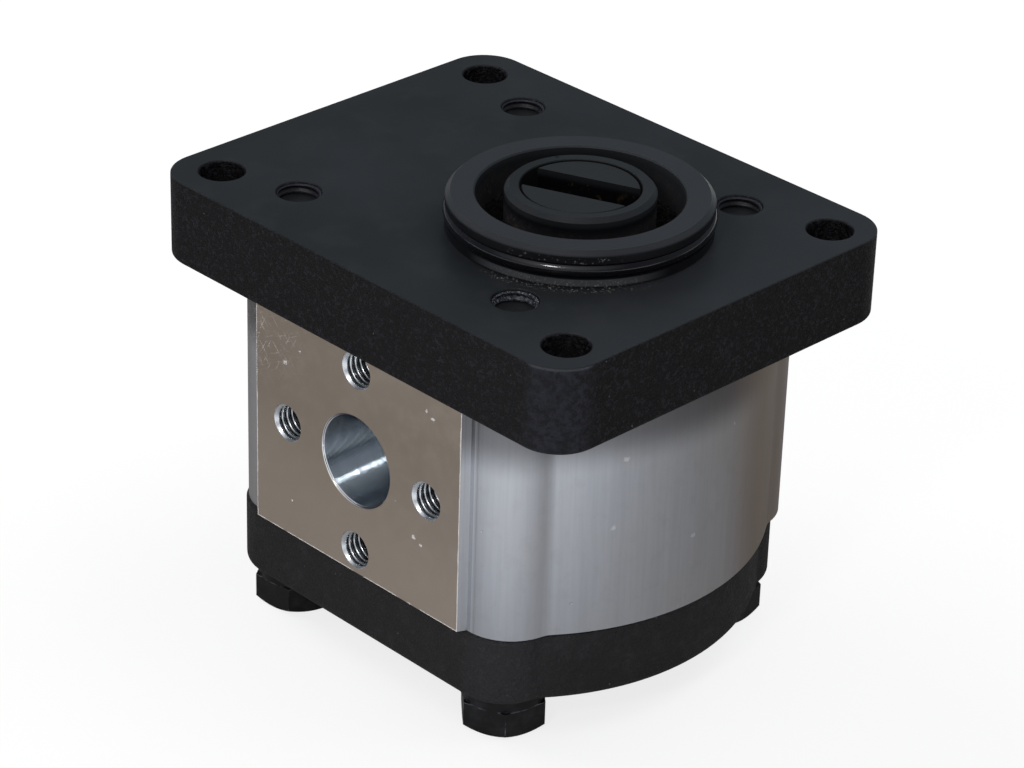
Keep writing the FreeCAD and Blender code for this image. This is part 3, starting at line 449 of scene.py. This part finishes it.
def machined_paint(f, radius, grit_and_highlight_side):
    """The smooth paint's colour and roughness: clouds and stains, painted light that makes it paler
    towards +X, a pale lip on the pilot, painted shade on the upright walls, and a painted highlight on
    the land under the sealing ring."""
    clouds = f.noise(0.035, 4.0, 0.55, seed=5.0)
    stains = f.ramp(f.noise(0.11, 5.0, 0.6, seed=21.0), 0.5, 0.62)
    colour = f.tint(f.ramp(clouds, 0.3, 0.7), (0.0092, 0.0108, 0.0118), (0.0143, 0.0163, 0.0187))
    colour = f.tint(f.times(stains, 0.35), colour, (0.0175, 0.0188, 0.0205))
    # Painted light: the paint is made paler towards +X.
    colour = f.tint(f.ramp(f.x, 8.0, 34.0, 0.0, 0.5), colour, (0.0205, 0.0225, 0.026))
    lip = f.times(f.ramp(f.z, 5.5, 7.0), f.ramp(radius, RECESS_RADIUS - 1.3, RECESS_RADIUS - 0.3))
    colour = f.tint(f.times(lip, 0.6), colour, (0.0245, 0.0265, 0.0305))
    outer_wall = f.band(radius, PILOT_RADIUS - 0.3, PILOT_RADIUS - 0.1,
                        PILOT_RADIUS + 0.05, PILOT_RADIUS + 0.3)
    hub_wall = f.band(radius, HUB_RADIUS - 0.3, HUB_RADIUS - 0.1, HUB_RADIUS + 0.2, HUB_RADIUS + 0.5)
    # Painted shade: the upright walls of the pilot and the hub are darkened.
    upright = f.times(f.either(outer_wall, hub_wall), f.band(f.z, 0.1, 0.3, 6.3, 7.2))
    colour = f.tint(f.times(upright, 0.85), colour, (0.003, 0.003, 0.0045))
    # Painted highlight: a paler band on the land under the sealing ring, on the front side.
    land = f.times(f.band(f.z, 0.3, 0.6, 1.7, 1.95), outer_wall, f.ramp(grit_and_highlight_side, 17.0, 24.5))
    colour = f.tint(f.times(land, 0.8), colour, (0.085, 0.088, 0.095))
    return colour, f.ramp(clouds, 0.35, 0.65, 0.34, 0.42)


def cast_paint(f, lumps, grains):
    """The rough paint's colour: dark between the grains, with a bluer painted highlight on the front
    corner and a pale painted highlight along that corner's top edge."""
    toward = f.to_front_corner()
    colour = f.tint(f.ramp(grains, 0.49, 0.63), (0.0003, 0.0002, 0.0006), (0.0125, 0.011, 0.0155))
    # Painted highlight: bluer on the front corner.
    corner = f.times(f.ramp(toward, FLANGE_CORNER - 3.2, FLANGE_CORNER - 0.6),
                    f.ramp(lumps, 0.4, 0.6, 0.25, 1.0))
    colour = f.tint(corner, colour, (0.0155, 0.0165, 0.0245))
    # Painted highlight: pale along the front corner's top edge.
    edge_wear_and_highlight = f.times(f.ramp(toward, FLANGE_CORNER - 2.8, FLANGE_CORNER - 1.0), f.ramp(f.z, -0.75, -0.35))
    return f.tint(f.times(edge_wear_and_highlight, 0.7), colour, (0.06, 0.065, 0.08))


def flange_dirt_and_painted_light(f, colour, radius, grit_and_highlight_side, cast):
    """The colour with dust on the rough sides, crumbs at the pilot's foot, painted glints above the
    sealing ring, a paler recess with grease, a nick in the hub and painted shade on the seam round the
    driver. Also gives where the grease and that painted shade are."""
    colour = f.tint(f.times(f.pits(0.22, 0.045, 5.0), cast), colour, (0.09, 0.085, 0.08))
    foot = f.band(radius, PILOT_RADIUS - 0.3, PILOT_RADIUS - 0.1, PILOT_RADIUS + 0.7, PILOT_RADIUS + 2.4)
    foot = f.times(f.below(f.z, 1.3, 1.8), foot, f.ramp(grit_and_highlight_side, 20.0, 25.0))
    crumbs = f.times(f.ramp(f.noise(2.4, 3.0, 0.7, seed=31.0), 0.56, 0.64), foot)
    # Painted highlights: pale glints on the pilot's wall above the sealing ring.
    wall = f.times(f.band(f.z, 4.9, 5.2, 6.0, 6.4), f.ramp(grit_and_highlight_side, 22.5, 25.5))
    glints = f.times(f.ramp(f.noise(1.6, 3.0, 0.7, seed=37.0), 0.6, 0.66), wall)
    colour = f.tint(f.either(crumbs, glints), colour, (0.2, 0.19, 0.18))
    recess = f.times(f.below(radius, RECESS_RADIUS - 0.1, RECESS_RADIUS + 0.1), f.below(f.z, 4.0, 6.5))
    colour = f.tint(f.times(recess, 0.7), colour, (0.02, 0.0185, 0.021))
    grease = f.times(f.ramp(f.noise(0.8, 4.0, 0.65, seed=12.0), 0.5, 0.64), recess)
    colour = f.tint(grease, colour, (0.034, 0.028, 0.023))
    colour = f.tint(f.mark(HUB_NICK, 0.8, 2.0), colour, (0.002, 0.002, 0.002))
    # Painted shade: near black on the seam round the driver.
    painted_gap_shade = f.band(radius, DRIVER_RADIUS - 0.1, DRIVER_RADIUS + 0.1,
                  DRIVER_RADIUS + 0.25, DRIVER_RADIUS + 0.45)
    return f.tint(painted_gap_shade, colour, (0.001, 0.001, 0.001)), grease, painted_gap_shade


def black_flange():
    """Black paint: lumpy where the casting is as cast, smooth where its face was machined, and
    turned in fine rings on the pilot and the hub, with traces of grease."""
    f = Finish("black_flange", (0.016, 0.016, 0.019), 0.0, 0.5, 0.22)
    radius = f.from_shaft()
    grit_and_highlight_side = f.work("ADD", f.times(f.x, GRIT_AND_HIGHLIGHT_SIDE[0]), f.times(f.y, GRIT_AND_HIGHLIGHT_SIDE[1]))
    cast = f.below(f.z, -0.32, -0.04)
    turned = f.ramp(f.z, 0.15, 0.4)
    lumps = f.noise(0.75, 5.0, 0.62)
    grains = f.noise(1.5, 3.0, 0.65, seed=3.0)
    f.bump(lumps, 0.5, f.times(cast, 0.9))
    f.bump(grains, 0.6, f.blend(cast, 0.012, 0.9))
    f.bump(f.line_noise(radius, 3.0, 3.0), 0.03, f.times(turned, 0.8))
    smooth, smooth_rough = machined_paint(f, radius, grit_and_highlight_side)
    colour = f.tint(cast, smooth, cast_paint(f, lumps, grains))
    colour, grease, painted_gap_shade = flange_dirt_and_painted_light(f, colour, radius, grit_and_highlight_side, cast)
    rough = f.blend(cast, smooth_rough, f.ramp(grains, 0.3, 0.7, 0.45, 0.75))
    return f.finish(colour, f.blend(painted_gap_shade, f.blend(grease, rough, 0.2), 0.95))


def black_cover():
    """Black paint on a rough casting all over, with a bluer painted highlight on the front corner."""
    f = Finish("black_cover", (0.014, 0.013, 0.014), 0.0, 0.55, 0.4)
    lumps = f.noise(0.7, 5.0, 0.62, seed=1.0)
    grains = f.noise(1.5, 3.0, 0.65, seed=4.0)
    f.bump(lumps, 0.5, 0.9)
    f.bump(grains, 0.45, 0.9)
    dust = f.ramp(f.noise(0.3, 4.0, 0.6, seed=8.0), 0.45, 0.75)
    colour = f.tint(dust, (0.0105, 0.0088, 0.0105), (0.023, 0.019, 0.0225))
    # Painted highlight: paler and bluer on the front corner.
    front = f.ramp(f.to_front_corner(), COVER_CORNER - 4.3, COVER_CORNER - 0.3, 0.0, 0.6)
    colour = f.tint(front, colour, (0.031, 0.029, 0.0345))
    colour = f.tint(f.ramp(grains, 0.45, 0.68, 0.5, 0.0), colour, (0.002, 0.002, 0.002))
    colour = f.tint(f.pits(0.2, 0.045, 9.0), colour, (0.08, 0.075, 0.07))
    return f.finish(colour, f.ramp(grains, 0.3, 0.7, 0.48, 0.72))


def drawn_skin(f, clouds, mottle):
    """The drawn wall's colour: wide bands, fine streaks and faint blotches, with painted shade below the
    flange and a darker, browner painted reflection at the far end."""
    wide_lines = f.noise(1.0, 2.0, 0.5, stretch=(0.3, 0.3, 0.003), seed=2.0)
    streaks = f.noise(1.0, 3.0, 0.6, stretch=(1.3, 1.3, 0.05), seed=23.0)
    colour = f.tint(wide_lines, (0.53, 0.545, 0.58), (0.62, 0.64, 0.675))
    colour = f.tint(f.ramp(clouds, 0.4, 0.7), colour, (0.58, 0.585, 0.6))
    colour = f.tint(f.ramp(streaks, 0.42, 0.62, 0.0, 0.13), colour, (0.41, 0.42, 0.445))
    colour = f.tint(f.ramp(mottle, 0.5, 0.68, 0.0, 0.16), colour, (0.44, 0.435, 0.44))
    # Painted shade: darker towards the flange above.
    overlay = f.ramp(f.z, BODY_TOP - 15.0, BODY_TOP - 1.0, 0.0, 0.6)
    painted_shade_near_flange = f.ramp(f.z, BODY_TOP - 15.5, BODY_TOP - 6.5, 0.0, 0.6)
    # Painted reflection: darker and browner at the far rounded end.
    painted_far_reflection = f.times(f.ramp(f.y, 5.0, 22.0), f.ramp(f.x, 20.0, 26.0, 0.0, 0.8))
    colour = f.tint(overlay, colour, (0.16, 0.155, 0.155))
    colour = f.tint(painted_shade_near_flange, colour, (0.09, 0.085, 0.09))
    return f.tint(painted_far_reflection, colour, (0.36, 0.29, 0.23))


def milled_skin(f, clouds, mottle):
    """The milled faces' colour: a warm painted reflection, paler towards the cover as painted reflection
    too.
    """
    colour = f.tint(clouds, (0.36, 0.295, 0.235), (0.45, 0.38, 0.32))
    colour = f.tint(f.times(f.ramp(mottle, 0.45, 0.7), 0.4), colour, (0.46, 0.39, 0.315))
    # Painted reflection: paler towards the cover.
    return f.tint(f.ramp(f.z, BODY_BOTTOM - 2.0, BODY_TOP - 12.0, 0.95, 0.0), colour, (0.62, 0.53, 0.45))


def bored_skin(f, tool_lines, mouth, along, above):
    """The bored walls' colour. The chamfer at the mouth has painted shade, and a painted highlight on
    its lower left.
    """
    colour = f.tint(tool_lines, (0.29, 0.335, 0.385), (0.42, 0.48, 0.54))
    # Painted highlight on the lower left of the mouth's chamfer, painted shade on the rest.
    lower_left = f.work("MULTIPLY_ADD", above, -0.35, f.times(along, -0.94))
    rim_painted_light = f.tint(f.ramp(lower_left, 0.0, 5.0), (0.16, 0.15, 0.17), (0.97, 0.98, 1.0))
    return f.tint(mouth, colour, rim_painted_light)


def body_marks(f, mottle, face, pad, from_middle):
    """1 on scratches near one corner, on pale specks, and on painted highlights along the burr at the
    foot and the ragged sides of the milled faces."""
    corner = f.times(f.below(f.x, -36.0, -29.0), f.ramp(f.z, -38.0, -30.0))
    haze = f.ramp(f.noise(0.3, 3.0, 0.6, seed=19.0), 0.38, 0.62, 0.05, 0.38)
    scratched = f.either(f.scratches(61.0, 3.0), f.scratches(28.0, 8.0), f.scratches(-47.0, 13.0))
    marks = f.times(scratched, haze, corner)
    specks = [((x, -pad, z), reach) for x, z, reach in FACE_SPECKS]
    specks += [((x, y, z), reach) for x, y, z, reach in END_SPECKS]
    for index, (spot, reach) in enumerate(specks):
        marks = f.either(marks, f.times(f.mark(spot, reach, 40.0 + index), 0.6))
    # Painted highlights along the burr at the foot and the ragged sides of the milled faces.
    burr_highlight = f.times(f.below(f.z, BODY_BOTTOM + 0.05, BODY_BOTTOM + 0.3), f.ramp(mottle, 0.4, 0.55))
    ragged = f.band(f.work("MULTIPLY_ADD", mottle, 0.5, from_middle), PAD_HALF_WIDTH - 0.15,
                    PAD_HALF_WIDTH + 0.05, PAD_HALF_WIDTH + 0.15, PAD_HALF_WIDTH + 0.4)
    return f.either(marks, f.times(f.either(burr_highlight, ragged), face, 0.75))


def drawn_body():
    """Extruded aluminium with fine upright lines, a milled face on each side pad with a warm painted
    reflection and a few scratches, and bright bored ports with rings from the tool."""
    port_x, port_z = (MOUNTS["inlet_port"]["pos_m"][axis] / MM for axis in (0, 2))
    pad = abs(MOUNTS["inlet_bolts"]["pos_m"][1]) / MM
    f = Finish("drawn_body", (0.4, 0.4, 0.4), 1.0, 0.4)
    out = f.work("ABSOLUTE", f.y)
    along, above = f.work("SUBTRACT", f.x, port_x), f.work("SUBTRACT", f.z, port_z)
    from_middle = f.work("ABSOLUTE", along)
    from_port = f.vector("LENGTH", f.join(along, 0.0, above))
    face = f.ramp(out, pad - 0.12, pad - 0.04)
    not_face = f.work("SUBTRACT", 1.0, face)
    bored = f.times(f.below(from_port, PORT_REGION - 0.1, PORT_REGION + 0.1), not_face)
    drawn = f.work("SUBTRACT", not_face, bored)
    beside_pad = f.below(f.work("ABSOLUTE", f.work("SUBTRACT", from_middle, BESIDE_PAD)), 1.3, 2.0)
    lines = f.noise(1.0, 4.0, 0.6, stretch=(3.4, 3.4, 0.012))
    clouds = f.noise(0.05, 4.0, 0.55, seed=6.0)
    mottle = f.noise(0.35, 4.0, 0.6, seed=16.0)
    milled = f.noise(1.0, 3.0, 0.6, stretch=(0.03, 1.0, 5.0), seed=9.0)
    tool_lines = f.line_noise(out, 2.4, 3.0, seed=4.0)
    tool_rings = f.work("SINE", f.times(out, RING_RATE))
    specks = f.pits(0.13, 0.04, 11.0)
    f.bump(lines, 0.01, drawn)
    f.bump(f.line_noise(f.x, 1.7, 2.0, seed=5.0), 0.12, f.times(beside_pad, drawn))
    f.bump(milled, 0.005, face)
    f.bump(tool_lines, 0.03, bored)
    f.bump(tool_rings, 0.046, bored)
    f.bump(specks, -0.08, 0.8)
    marks = body_marks(f, mottle, face, pad, from_middle)
    mouth = f.ramp(out, pad - 0.48, pad - 0.4)
    colour = f.tint(face, drawn_skin(f, clouds, mottle), milled_skin(f, clouds, mottle))
    # Pale marks: scratches and specks, and painted highlights on the burr and the ragged sides.
    colour = f.tint(f.times(marks, 0.8), colour, (0.97, 0.97, 0.97))
    colour = f.tint(bored, colour, bored_skin(f, tool_lines, mouth, along, above))
    colour = f.tint(f.times(specks, 0.7), colour, (0.75, 0.73, 0.7))
    rough = f.blend(face, f.ramp(lines, 0.3, 0.7, 0.34, 0.42), f.ramp(mottle, 0.3, 0.7, 0.28, 0.38))
    metallic = f.ramp(f.times(marks, face), 0.1, 0.7, 1.0, 0.25)
    f.links.new(metallic, f.surface.inputs["Metallic"])
    return f.finish(colour, f.blend(bored, rough, 0.1))


def black_steel(name, colour, roughness, seed):
    """Blackened steel, slightly uneven, with fine grain, pale along its edges from wear and painted
    highlight. The bolts' ends in the flange are painted paler, as painted light inside the holes."""
    f = Finish(name, colour, 0.5, roughness, 0.4)
    grain = f.noise(1.6, 4.0, 0.6, seed=seed)
    cloud = f.noise(0.25, 3.0, 0.5, seed=seed + 3.0)
    f.bump(grain, 0.03, 0.7)
    pale = tuple(channel * 2.6 for channel in colour)
    shade = f.tint(f.ramp(cloud, 0.45, 0.75), colour, pale)
    # Painted light: the bolts' ends in the flange are made paler.
    shade = f.tint(f.ramp(f.z, -10.0, -8.0), shade, (0.02, 0.0225, 0.0245))
    # Pale edges: wear, and painted highlight.
    edge_wear_and_highlight = f.times(f.edges(0.35), f.ramp(f.noise(0.5, 4.0, 0.65, seed=seed + 7.0), 0.42, 0.62), 0.9)
    return f.finish(f.tint(edge_wear_and_highlight, shade, (0.3, 0.31, 0.35)),
                    f.ramp(grain, 0.3, 0.7, roughness - 0.08, roughness + 0.12))


def turned_driver():
    """The driver: blackened, faced in rings, with a little dried grease in its slot, painted shade deep
    in the slot and on the seam round its edge.
    """
    f = Finish("turned_driver", (0.03, 0.031, 0.034), 0.3, 0.38, 0.3)
    radius = f.from_shaft()
    f.bump(f.line_noise(radius, 2.4, 3.0, 7.0), 0.02, 0.7)
    f.bump(f.noise(1.2, 4.0, 0.6, seed=2.0), 0.03, 0.6)
    cloud = f.noise(0.12, 3.0, 0.55, seed=4.0)
    deep = f.below(f.z, 6.5, 8.0)
    grease = f.times(f.ramp(f.noise(0.5, 4.0, 0.65, seed=12.0), 0.6, 0.68), deep)
    smear = f.times(f.mark(SLOT_SMEAR, 4.4, 6.0), deep, 0.8)
    # Painted shade: near black on the seam round the driver's edge.
    painted_gap_shade = f.ramp(radius, DRIVER_RADIUS - 0.25, DRIVER_RADIUS - 0.1)
    colour = f.tint(cloud, (0.015, 0.0165, 0.0185), (0.0205, 0.0225, 0.0245))
    # Painted shade: darker deep in the slot.
    colour = f.tint(deep, colour, (0.0025, 0.002, 0.0035))
    colour = f.tint(f.either(grease, smear), colour, (0.058, 0.044, 0.018))
    colour = f.tint(painted_gap_shade, colour, (0.001, 0.001, 0.001))
    return f.finish(colour, f.blend(painted_gap_shade, f.blend(grease, 0.38, 0.2), 0.95))


def ground_steel(name, colour, seed):
    """Ground steel with fine lines round its axis of turning."""
    f = Finish(name, colour, 1.0, 0.25)
    f.bump(f.noise(1.0, 3.0, 0.6, stretch=(0.4, 0.4, 5.0), seed=seed), 0.008, 0.8)
    cloud = f.noise(0.2, 3.0, 0.5, seed=seed + 1.0)
    pale = tuple(min(channel * 1.2, 1.0) for channel in colour)
    return f.finish(f.tint(cloud, colour, pale), f.ramp(cloud, 0.3, 0.7, 0.18, 0.32))


def plain_metal(name, colour, roughness, seed):
    """Machined soft metal with short tool marks."""
    f = Finish(name, colour, 1.0, roughness)
    marks = f.noise(1.0, 3.0, 0.6, stretch=(0.2, 3.0, 3.0), seed=seed)
    f.bump(marks, 0.01, 0.8)
    dark = tuple(channel * 0.82 for channel in colour)
    return f.finish(f.tint(marks, dark, colour),
                    f.ramp(marks, 0.3, 0.7, roughness - 0.06, roughness + 0.08))


def oiled_rubber():
    """Smooth black rubber under a film of oil."""
    f = Finish("oiled_rubber", (0.004, 0.004, 0.006), 0.0, 0.12, 0.5)
    overlay = f.noise(0.5, 4.0, 0.6, seed=1.0)
    f.bump(overlay, 0.05, 0.7)
    return f.finish(f.tint(overlay, (0.003, 0.003, 0.0045), (0.0055, 0.0055, 0.0075)),
                    f.ramp(overlay, 0.3, 0.7, 0.07, 0.17))


def dull_plastic():
    """Unfilled pale plastic."""
    f = Finish("dull_plastic", (0.75, 0.72, 0.62), 0.0, 0.5)
    cloud = f.noise(0.4, 3.0, 0.5, seed=1.0)
    f.bump(cloud, 0.01, 0.6)
    return f.finish(f.tint(cloud, (0.68, 0.65, 0.56), (0.78, 0.75, 0.66)),
                    f.ramp(cloud, 0.3, 0.7, 0.42, 0.58))


def bright_thread():
    """Freshly cut aluminium, bright on the crests, with painted shade in the grooves and further in."""
    f = Finish("bright_thread", (0.6, 0.62, 0.64), 1.0, 0.25)
    marks = f.noise(2.0, 3.0, 0.6, seed=2.0)
    f.bump(marks, 0.01, 0.6)
    crest = f.tint(marks, (0.6, 0.63, 0.66), (0.88, 0.91, 0.94))
    # Painted shade: darker in the grooves and deeper in the hole.
    groove = f.ramp(f.read("groove"), 0.1, 0.7)
    colour = f.tint(f.times(groove, 0.86), crest, (0.05, 0.05, 0.056))
    colour = f.tint(f.ramp(f.read("depth_share"), 0.2, 0.6, 0.0, 0.82), colour, (0.03, 0.03, 0.034))
    return f.finish(colour, f.ramp(marks, 0.3, 0.7, 0.2, 0.34))


def dark_thread():
    """A thread cut through black paint, with dry grease that is thickest in the front hole."""
    f = Finish("dark_thread", (0.05, 0.05, 0.052), 0.4, 0.45)
    grains = f.noise(2.2, 4.0, 0.7, seed=5.0)
    patches = f.ramp(f.noise(0.5, 3.0, 0.6, seed=9.0), 0.36, 0.5)
    f.bump(grains, 0.1, 0.8)
    front = f.times(f.ramp(f.x, 0.0, 4.0), f.below(f.y, -8.0, -4.0))
    crust = f.times(f.ramp(grains, 0.5, 0.58), patches, f.blend(front, 0.05, 0.9))
    # Painted shade: darker in the grooves.
    colour = f.tint(f.read("groove"), (0.024, 0.024, 0.03), (0.012, 0.012, 0.016))
    return f.finish(f.tint(crust, colour, (0.19, 0.2, 0.235)), f.ramp(grains, 0.3, 0.7, 0.3, 0.6))


def dress(name, material):
    """Gives a node of the frame its finish."""
    mesh = frame["nodes"][name].data
    mesh.materials.clear()
    mesh.materials.append(material)


def dress_nodes():
    """The finish of every node of the frame."""
    rubber, plastic = oiled_rubber(), dull_plastic()
    bronze = plain_metal("bush_bronze", (0.5, 0.36, 0.17), 0.3, 3.0)
    block = plain_metal("block_alloy", (0.6, 0.6, 0.6), 0.34, 6.0)
    bolt = black_steel("black_bolts", (0.012, 0.012, 0.0135), 0.36, 4.0)
    gears = ground_steel("ground_gears", (0.45, 0.45, 0.46), 2.0)
    finishes = {"mounting_flange": black_flange(), "rear_cover": black_cover(),
                "gear_body": drawn_body(), "drive_coupling": turned_driver(), "body_bolts": bolt,
                "lock_washers": bolt, "shaft_seal": rubber, "pilot_o_ring": rubber}
    for name in frame["nodes"]:
        if name in finishes:
            dress(name, finishes[name])
        elif "gear" in name or "dowels" in name:
            dress(name, gears)
        elif "bush" in name:
            dress(name, bronze)
        elif "block_seal" in name or "face_seal" in name:
            dress(name, rubber)
        elif "backing" in name:
            dress(name, plastic)
        else:
            dress(name, block)


def add_threads():
    """The threads in both ports' screw holes and in the flange."""
    bright, dark = bright_thread(), dark_thread()
    for piece, finish, slot in ((port_threads("inlet"), bright, "extruded_body"),
                                (port_threads("outlet"), bright, "extruded_body"),
                                (flange_threads(), dark, "black_casting")):
        piece.data.materials.append(finish)
        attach(piece, "pump_body")


def add_pilot_ring():
    """The pilot's sealing ring standing free, a little proud of its groove."""
    low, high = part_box("pilot_o_ring")
    height = (low[2] + high[2]) / 2 / MM
    points = ring_section(height, RING_CENTRE_RADIUS, RING_HALF_WIDTH, RING_HALF_HEIGHT)
    ring = add_grid("free_o_ring", points)
    ring.data.materials.append(bpy.data.materials["oiled_rubber"])
    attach(ring, "pump_body")
    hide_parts("pilot_o_ring")


def graded(nodes, links, place, direction, stops):
    """White to the camera, and to a reflection a tone that follows the distance along a
    direction, so that bright metal shows one light side and one dim one."""
    along = nodes.new("ShaderNodeVectorMath")
    along.operation = "DOT_PRODUCT"
    links.new(place, along.inputs[0])
    along.inputs[1].default_value = direction
    low, high = stops[0][0], stops[-1][0]
    share = nodes.new("ShaderNodeMapRange")
    share.inputs["From Min"].default_value = low
    share.inputs["From Max"].default_value = high
    links.new(along.outputs["Value"], share.inputs["Value"])
    tones = nodes.new("ShaderNodeValToRGB")
    tones.color_ramp.interpolation = "LINEAR"
    while len(tones.color_ramp.elements) < len(stops):
        tones.color_ramp.elements.new(0.5)
    for element, (distance, tone) in zip(tones.color_ramp.elements, stops):
        element.position = (distance - low) / (high - low)
        element.color = (*tone, 1.0)
    links.new(share.outputs["Result"], tones.inputs[0])
    path = nodes.new("ShaderNodeLightPath")
    mix = nodes.new("ShaderNodeMix")
    mix.data_type = "RGBA"
    links.new(path.outputs["Is Glossy Ray"], mix.inputs["Factor"])
    mix.inputs[6].default_value = (1.0, 1.0, 1.0, 1.0)
    links.new(tones.outputs[0], mix.inputs[7])
    return mix.outputs[2]


def add_floor(height):
    """A wide white floor, seen white and still darkened by the pump's shadow."""
    bpy.ops.mesh.primitive_plane_add(size=FLOOR_SIZE, location=(0.0, 0.0, height))
    floor = bpy.context.object
    floor.name = "studio_floor"
    material = bpy.data.materials.new("white_floor")
    material.use_nodes = True
    nodes, links = material.node_tree.nodes, material.node_tree.links
    paint = nodes["Principled BSDF"]
    paint.inputs["Base Color"].default_value = (0.85, 0.85, 0.85, 1.0)
    paint.inputs["Roughness"].default_value = 0.9
    paint.inputs["Specular IOR Level"].default_value = 0.0
    glow = nodes.new("ShaderNodeEmission")
    glow.inputs["Strength"].default_value = 1.0
    where = nodes.new("ShaderNodeTexCoord")
    moved = nodes.new("ShaderNodeVectorMath")
    links.new(where.outputs["Object"], moved.inputs[0])
    moved.inputs[1].default_value = (GEAR_DISTANCE / 2 * MM, 0.0, 0.0)
    tones = graded(nodes, links, moved.outputs[0], GROUND_DIRECTION, GROUND)
    links.new(tones, glow.inputs["Color"])
    mix = nodes.new("ShaderNodeMixShader")
    share = nodes.new("ShaderNodeMath")
    share.operation = "MULTIPLY"
    share.inputs[1].default_value = FLOOR_GLOW
    links.new(seen_rays(nodes, links), share.inputs[0])
    links.new(share.outputs[0], mix.inputs[0])
    links.new(paint.outputs[0], mix.inputs[1])
    links.new(glow.outputs[0], mix.inputs[2])
    links.new(mix.outputs[0], nodes["Material Output"].inputs["Surface"])
    floor.data.materials.append(material)


def seen_rays(nodes, links):
    """1 for a ray from the camera, a reflection or a view through glass, and 0 for light."""
    path = nodes.new("ShaderNodeLightPath")
    total = path.outputs["Is Camera Ray"]
    for name in ("Is Glossy Ray", "Is Transmission Ray"):
        step = nodes.new("ShaderNodeMath")
        step.operation = "MAXIMUM"
        links.new(total, step.inputs[0])
        links.new(path.outputs[name], step.inputs[1])
        total = step.outputs[0]
    return total


def set_world():
    """A white backdrop to look at, and a soft grey light from all sides."""
    world = bpy.data.worlds.new("studio")
    bpy.context.scene.world = world
    world.use_nodes = True
    nodes, links = world.node_tree.nodes, world.node_tree.links
    backdrop = nodes["Background"]
    backdrop.inputs["Strength"].default_value = 1.0
    where = nodes.new("ShaderNodeTexCoord")
    tones = graded(nodes, links, where.outputs["Generated"], SKY_DIRECTION, SKY)
    links.new(tones, backdrop.inputs["Color"])
    light = nodes.new("ShaderNodeBackground")
    light.inputs["Color"].default_value = (0.95, 0.97, 1.0, 1.0)
    light.inputs["Strength"].default_value = WORLD_LIGHT
    mix = nodes.new("ShaderNodeMixShader")
    links.new(seen_rays(nodes, links), mix.inputs[0])
    links.new(light.outputs[0], mix.inputs[1])
    links.new(backdrop.outputs[0], mix.inputs[2])
    links.new(mix.outputs[0], nodes["World Output"].inputs["Surface"])


def add_lamp(name, azimuth, elevation, distance, size, power, mirrored):
    """A square soft light that looks at the middle of the pump."""
    turn, rise = math.radians(azimuth), math.radians(elevation)
    level = math.cos(rise)
    toward = Vector((math.sin(turn) * level, -math.cos(turn) * level, math.sin(rise)))
    lamp = bpy.data.lights.new(name, "AREA")
    lamp.size = size
    lamp.energy = power
    holder = bpy.data.objects.new(name, lamp)
    holder.visible_glossy = mirrored
    bpy.context.scene.collection.objects.link(holder)
    holder.location = Vector(LAMP_TARGET) + toward * distance
    holder.rotation_euler = toward.to_track_quat("Z", "Y").to_euler()


def add_camera():
    """The photograph's camera, level apart from a slight roll."""
    turn, rise, roll = (math.radians(a) for a in (CAMERA_AZIMUTH, CAMERA_ELEVATION, CAMERA_ROLL))
    level = math.cos(rise)
    back = Vector((math.sin(turn) * level, -math.cos(turn) * level, math.sin(rise)))
    right = Vector((math.cos(turn), math.sin(turn), 0.0))
    up = back.cross(right)
    rolled_right = math.cos(roll) * right + math.sin(roll) * up
    rolled_up = math.cos(roll) * up - math.sin(roll) * right
    data = bpy.data.cameras.new("photo_camera")
    data.sensor_width = SENSOR_WIDTH
    data.lens = FOCAL_PIXELS / IMAGE_WIDTH * SENSOR_WIDTH
    data.clip_start = 0.01
    camera = bpy.data.objects.new("photo_camera", data)
    bpy.context.scene.collection.objects.link(camera)
    turned = Matrix((rolled_right, rolled_up, back)).transposed().to_4x4()
    camera.matrix_world = Matrix.Translation(Vector(CAMERA_PLACE) * MM) @ turned
    bpy.context.scene.camera = camera


bpy.context.scene.view_settings.view_transform = "Standard"
dress_nodes()
add_threads()
add_pilot_ring()
add_floor(cad_box[0][2])
set_world()
for lamp in LAMPS:
    add_lamp(*lamp)
add_camera()
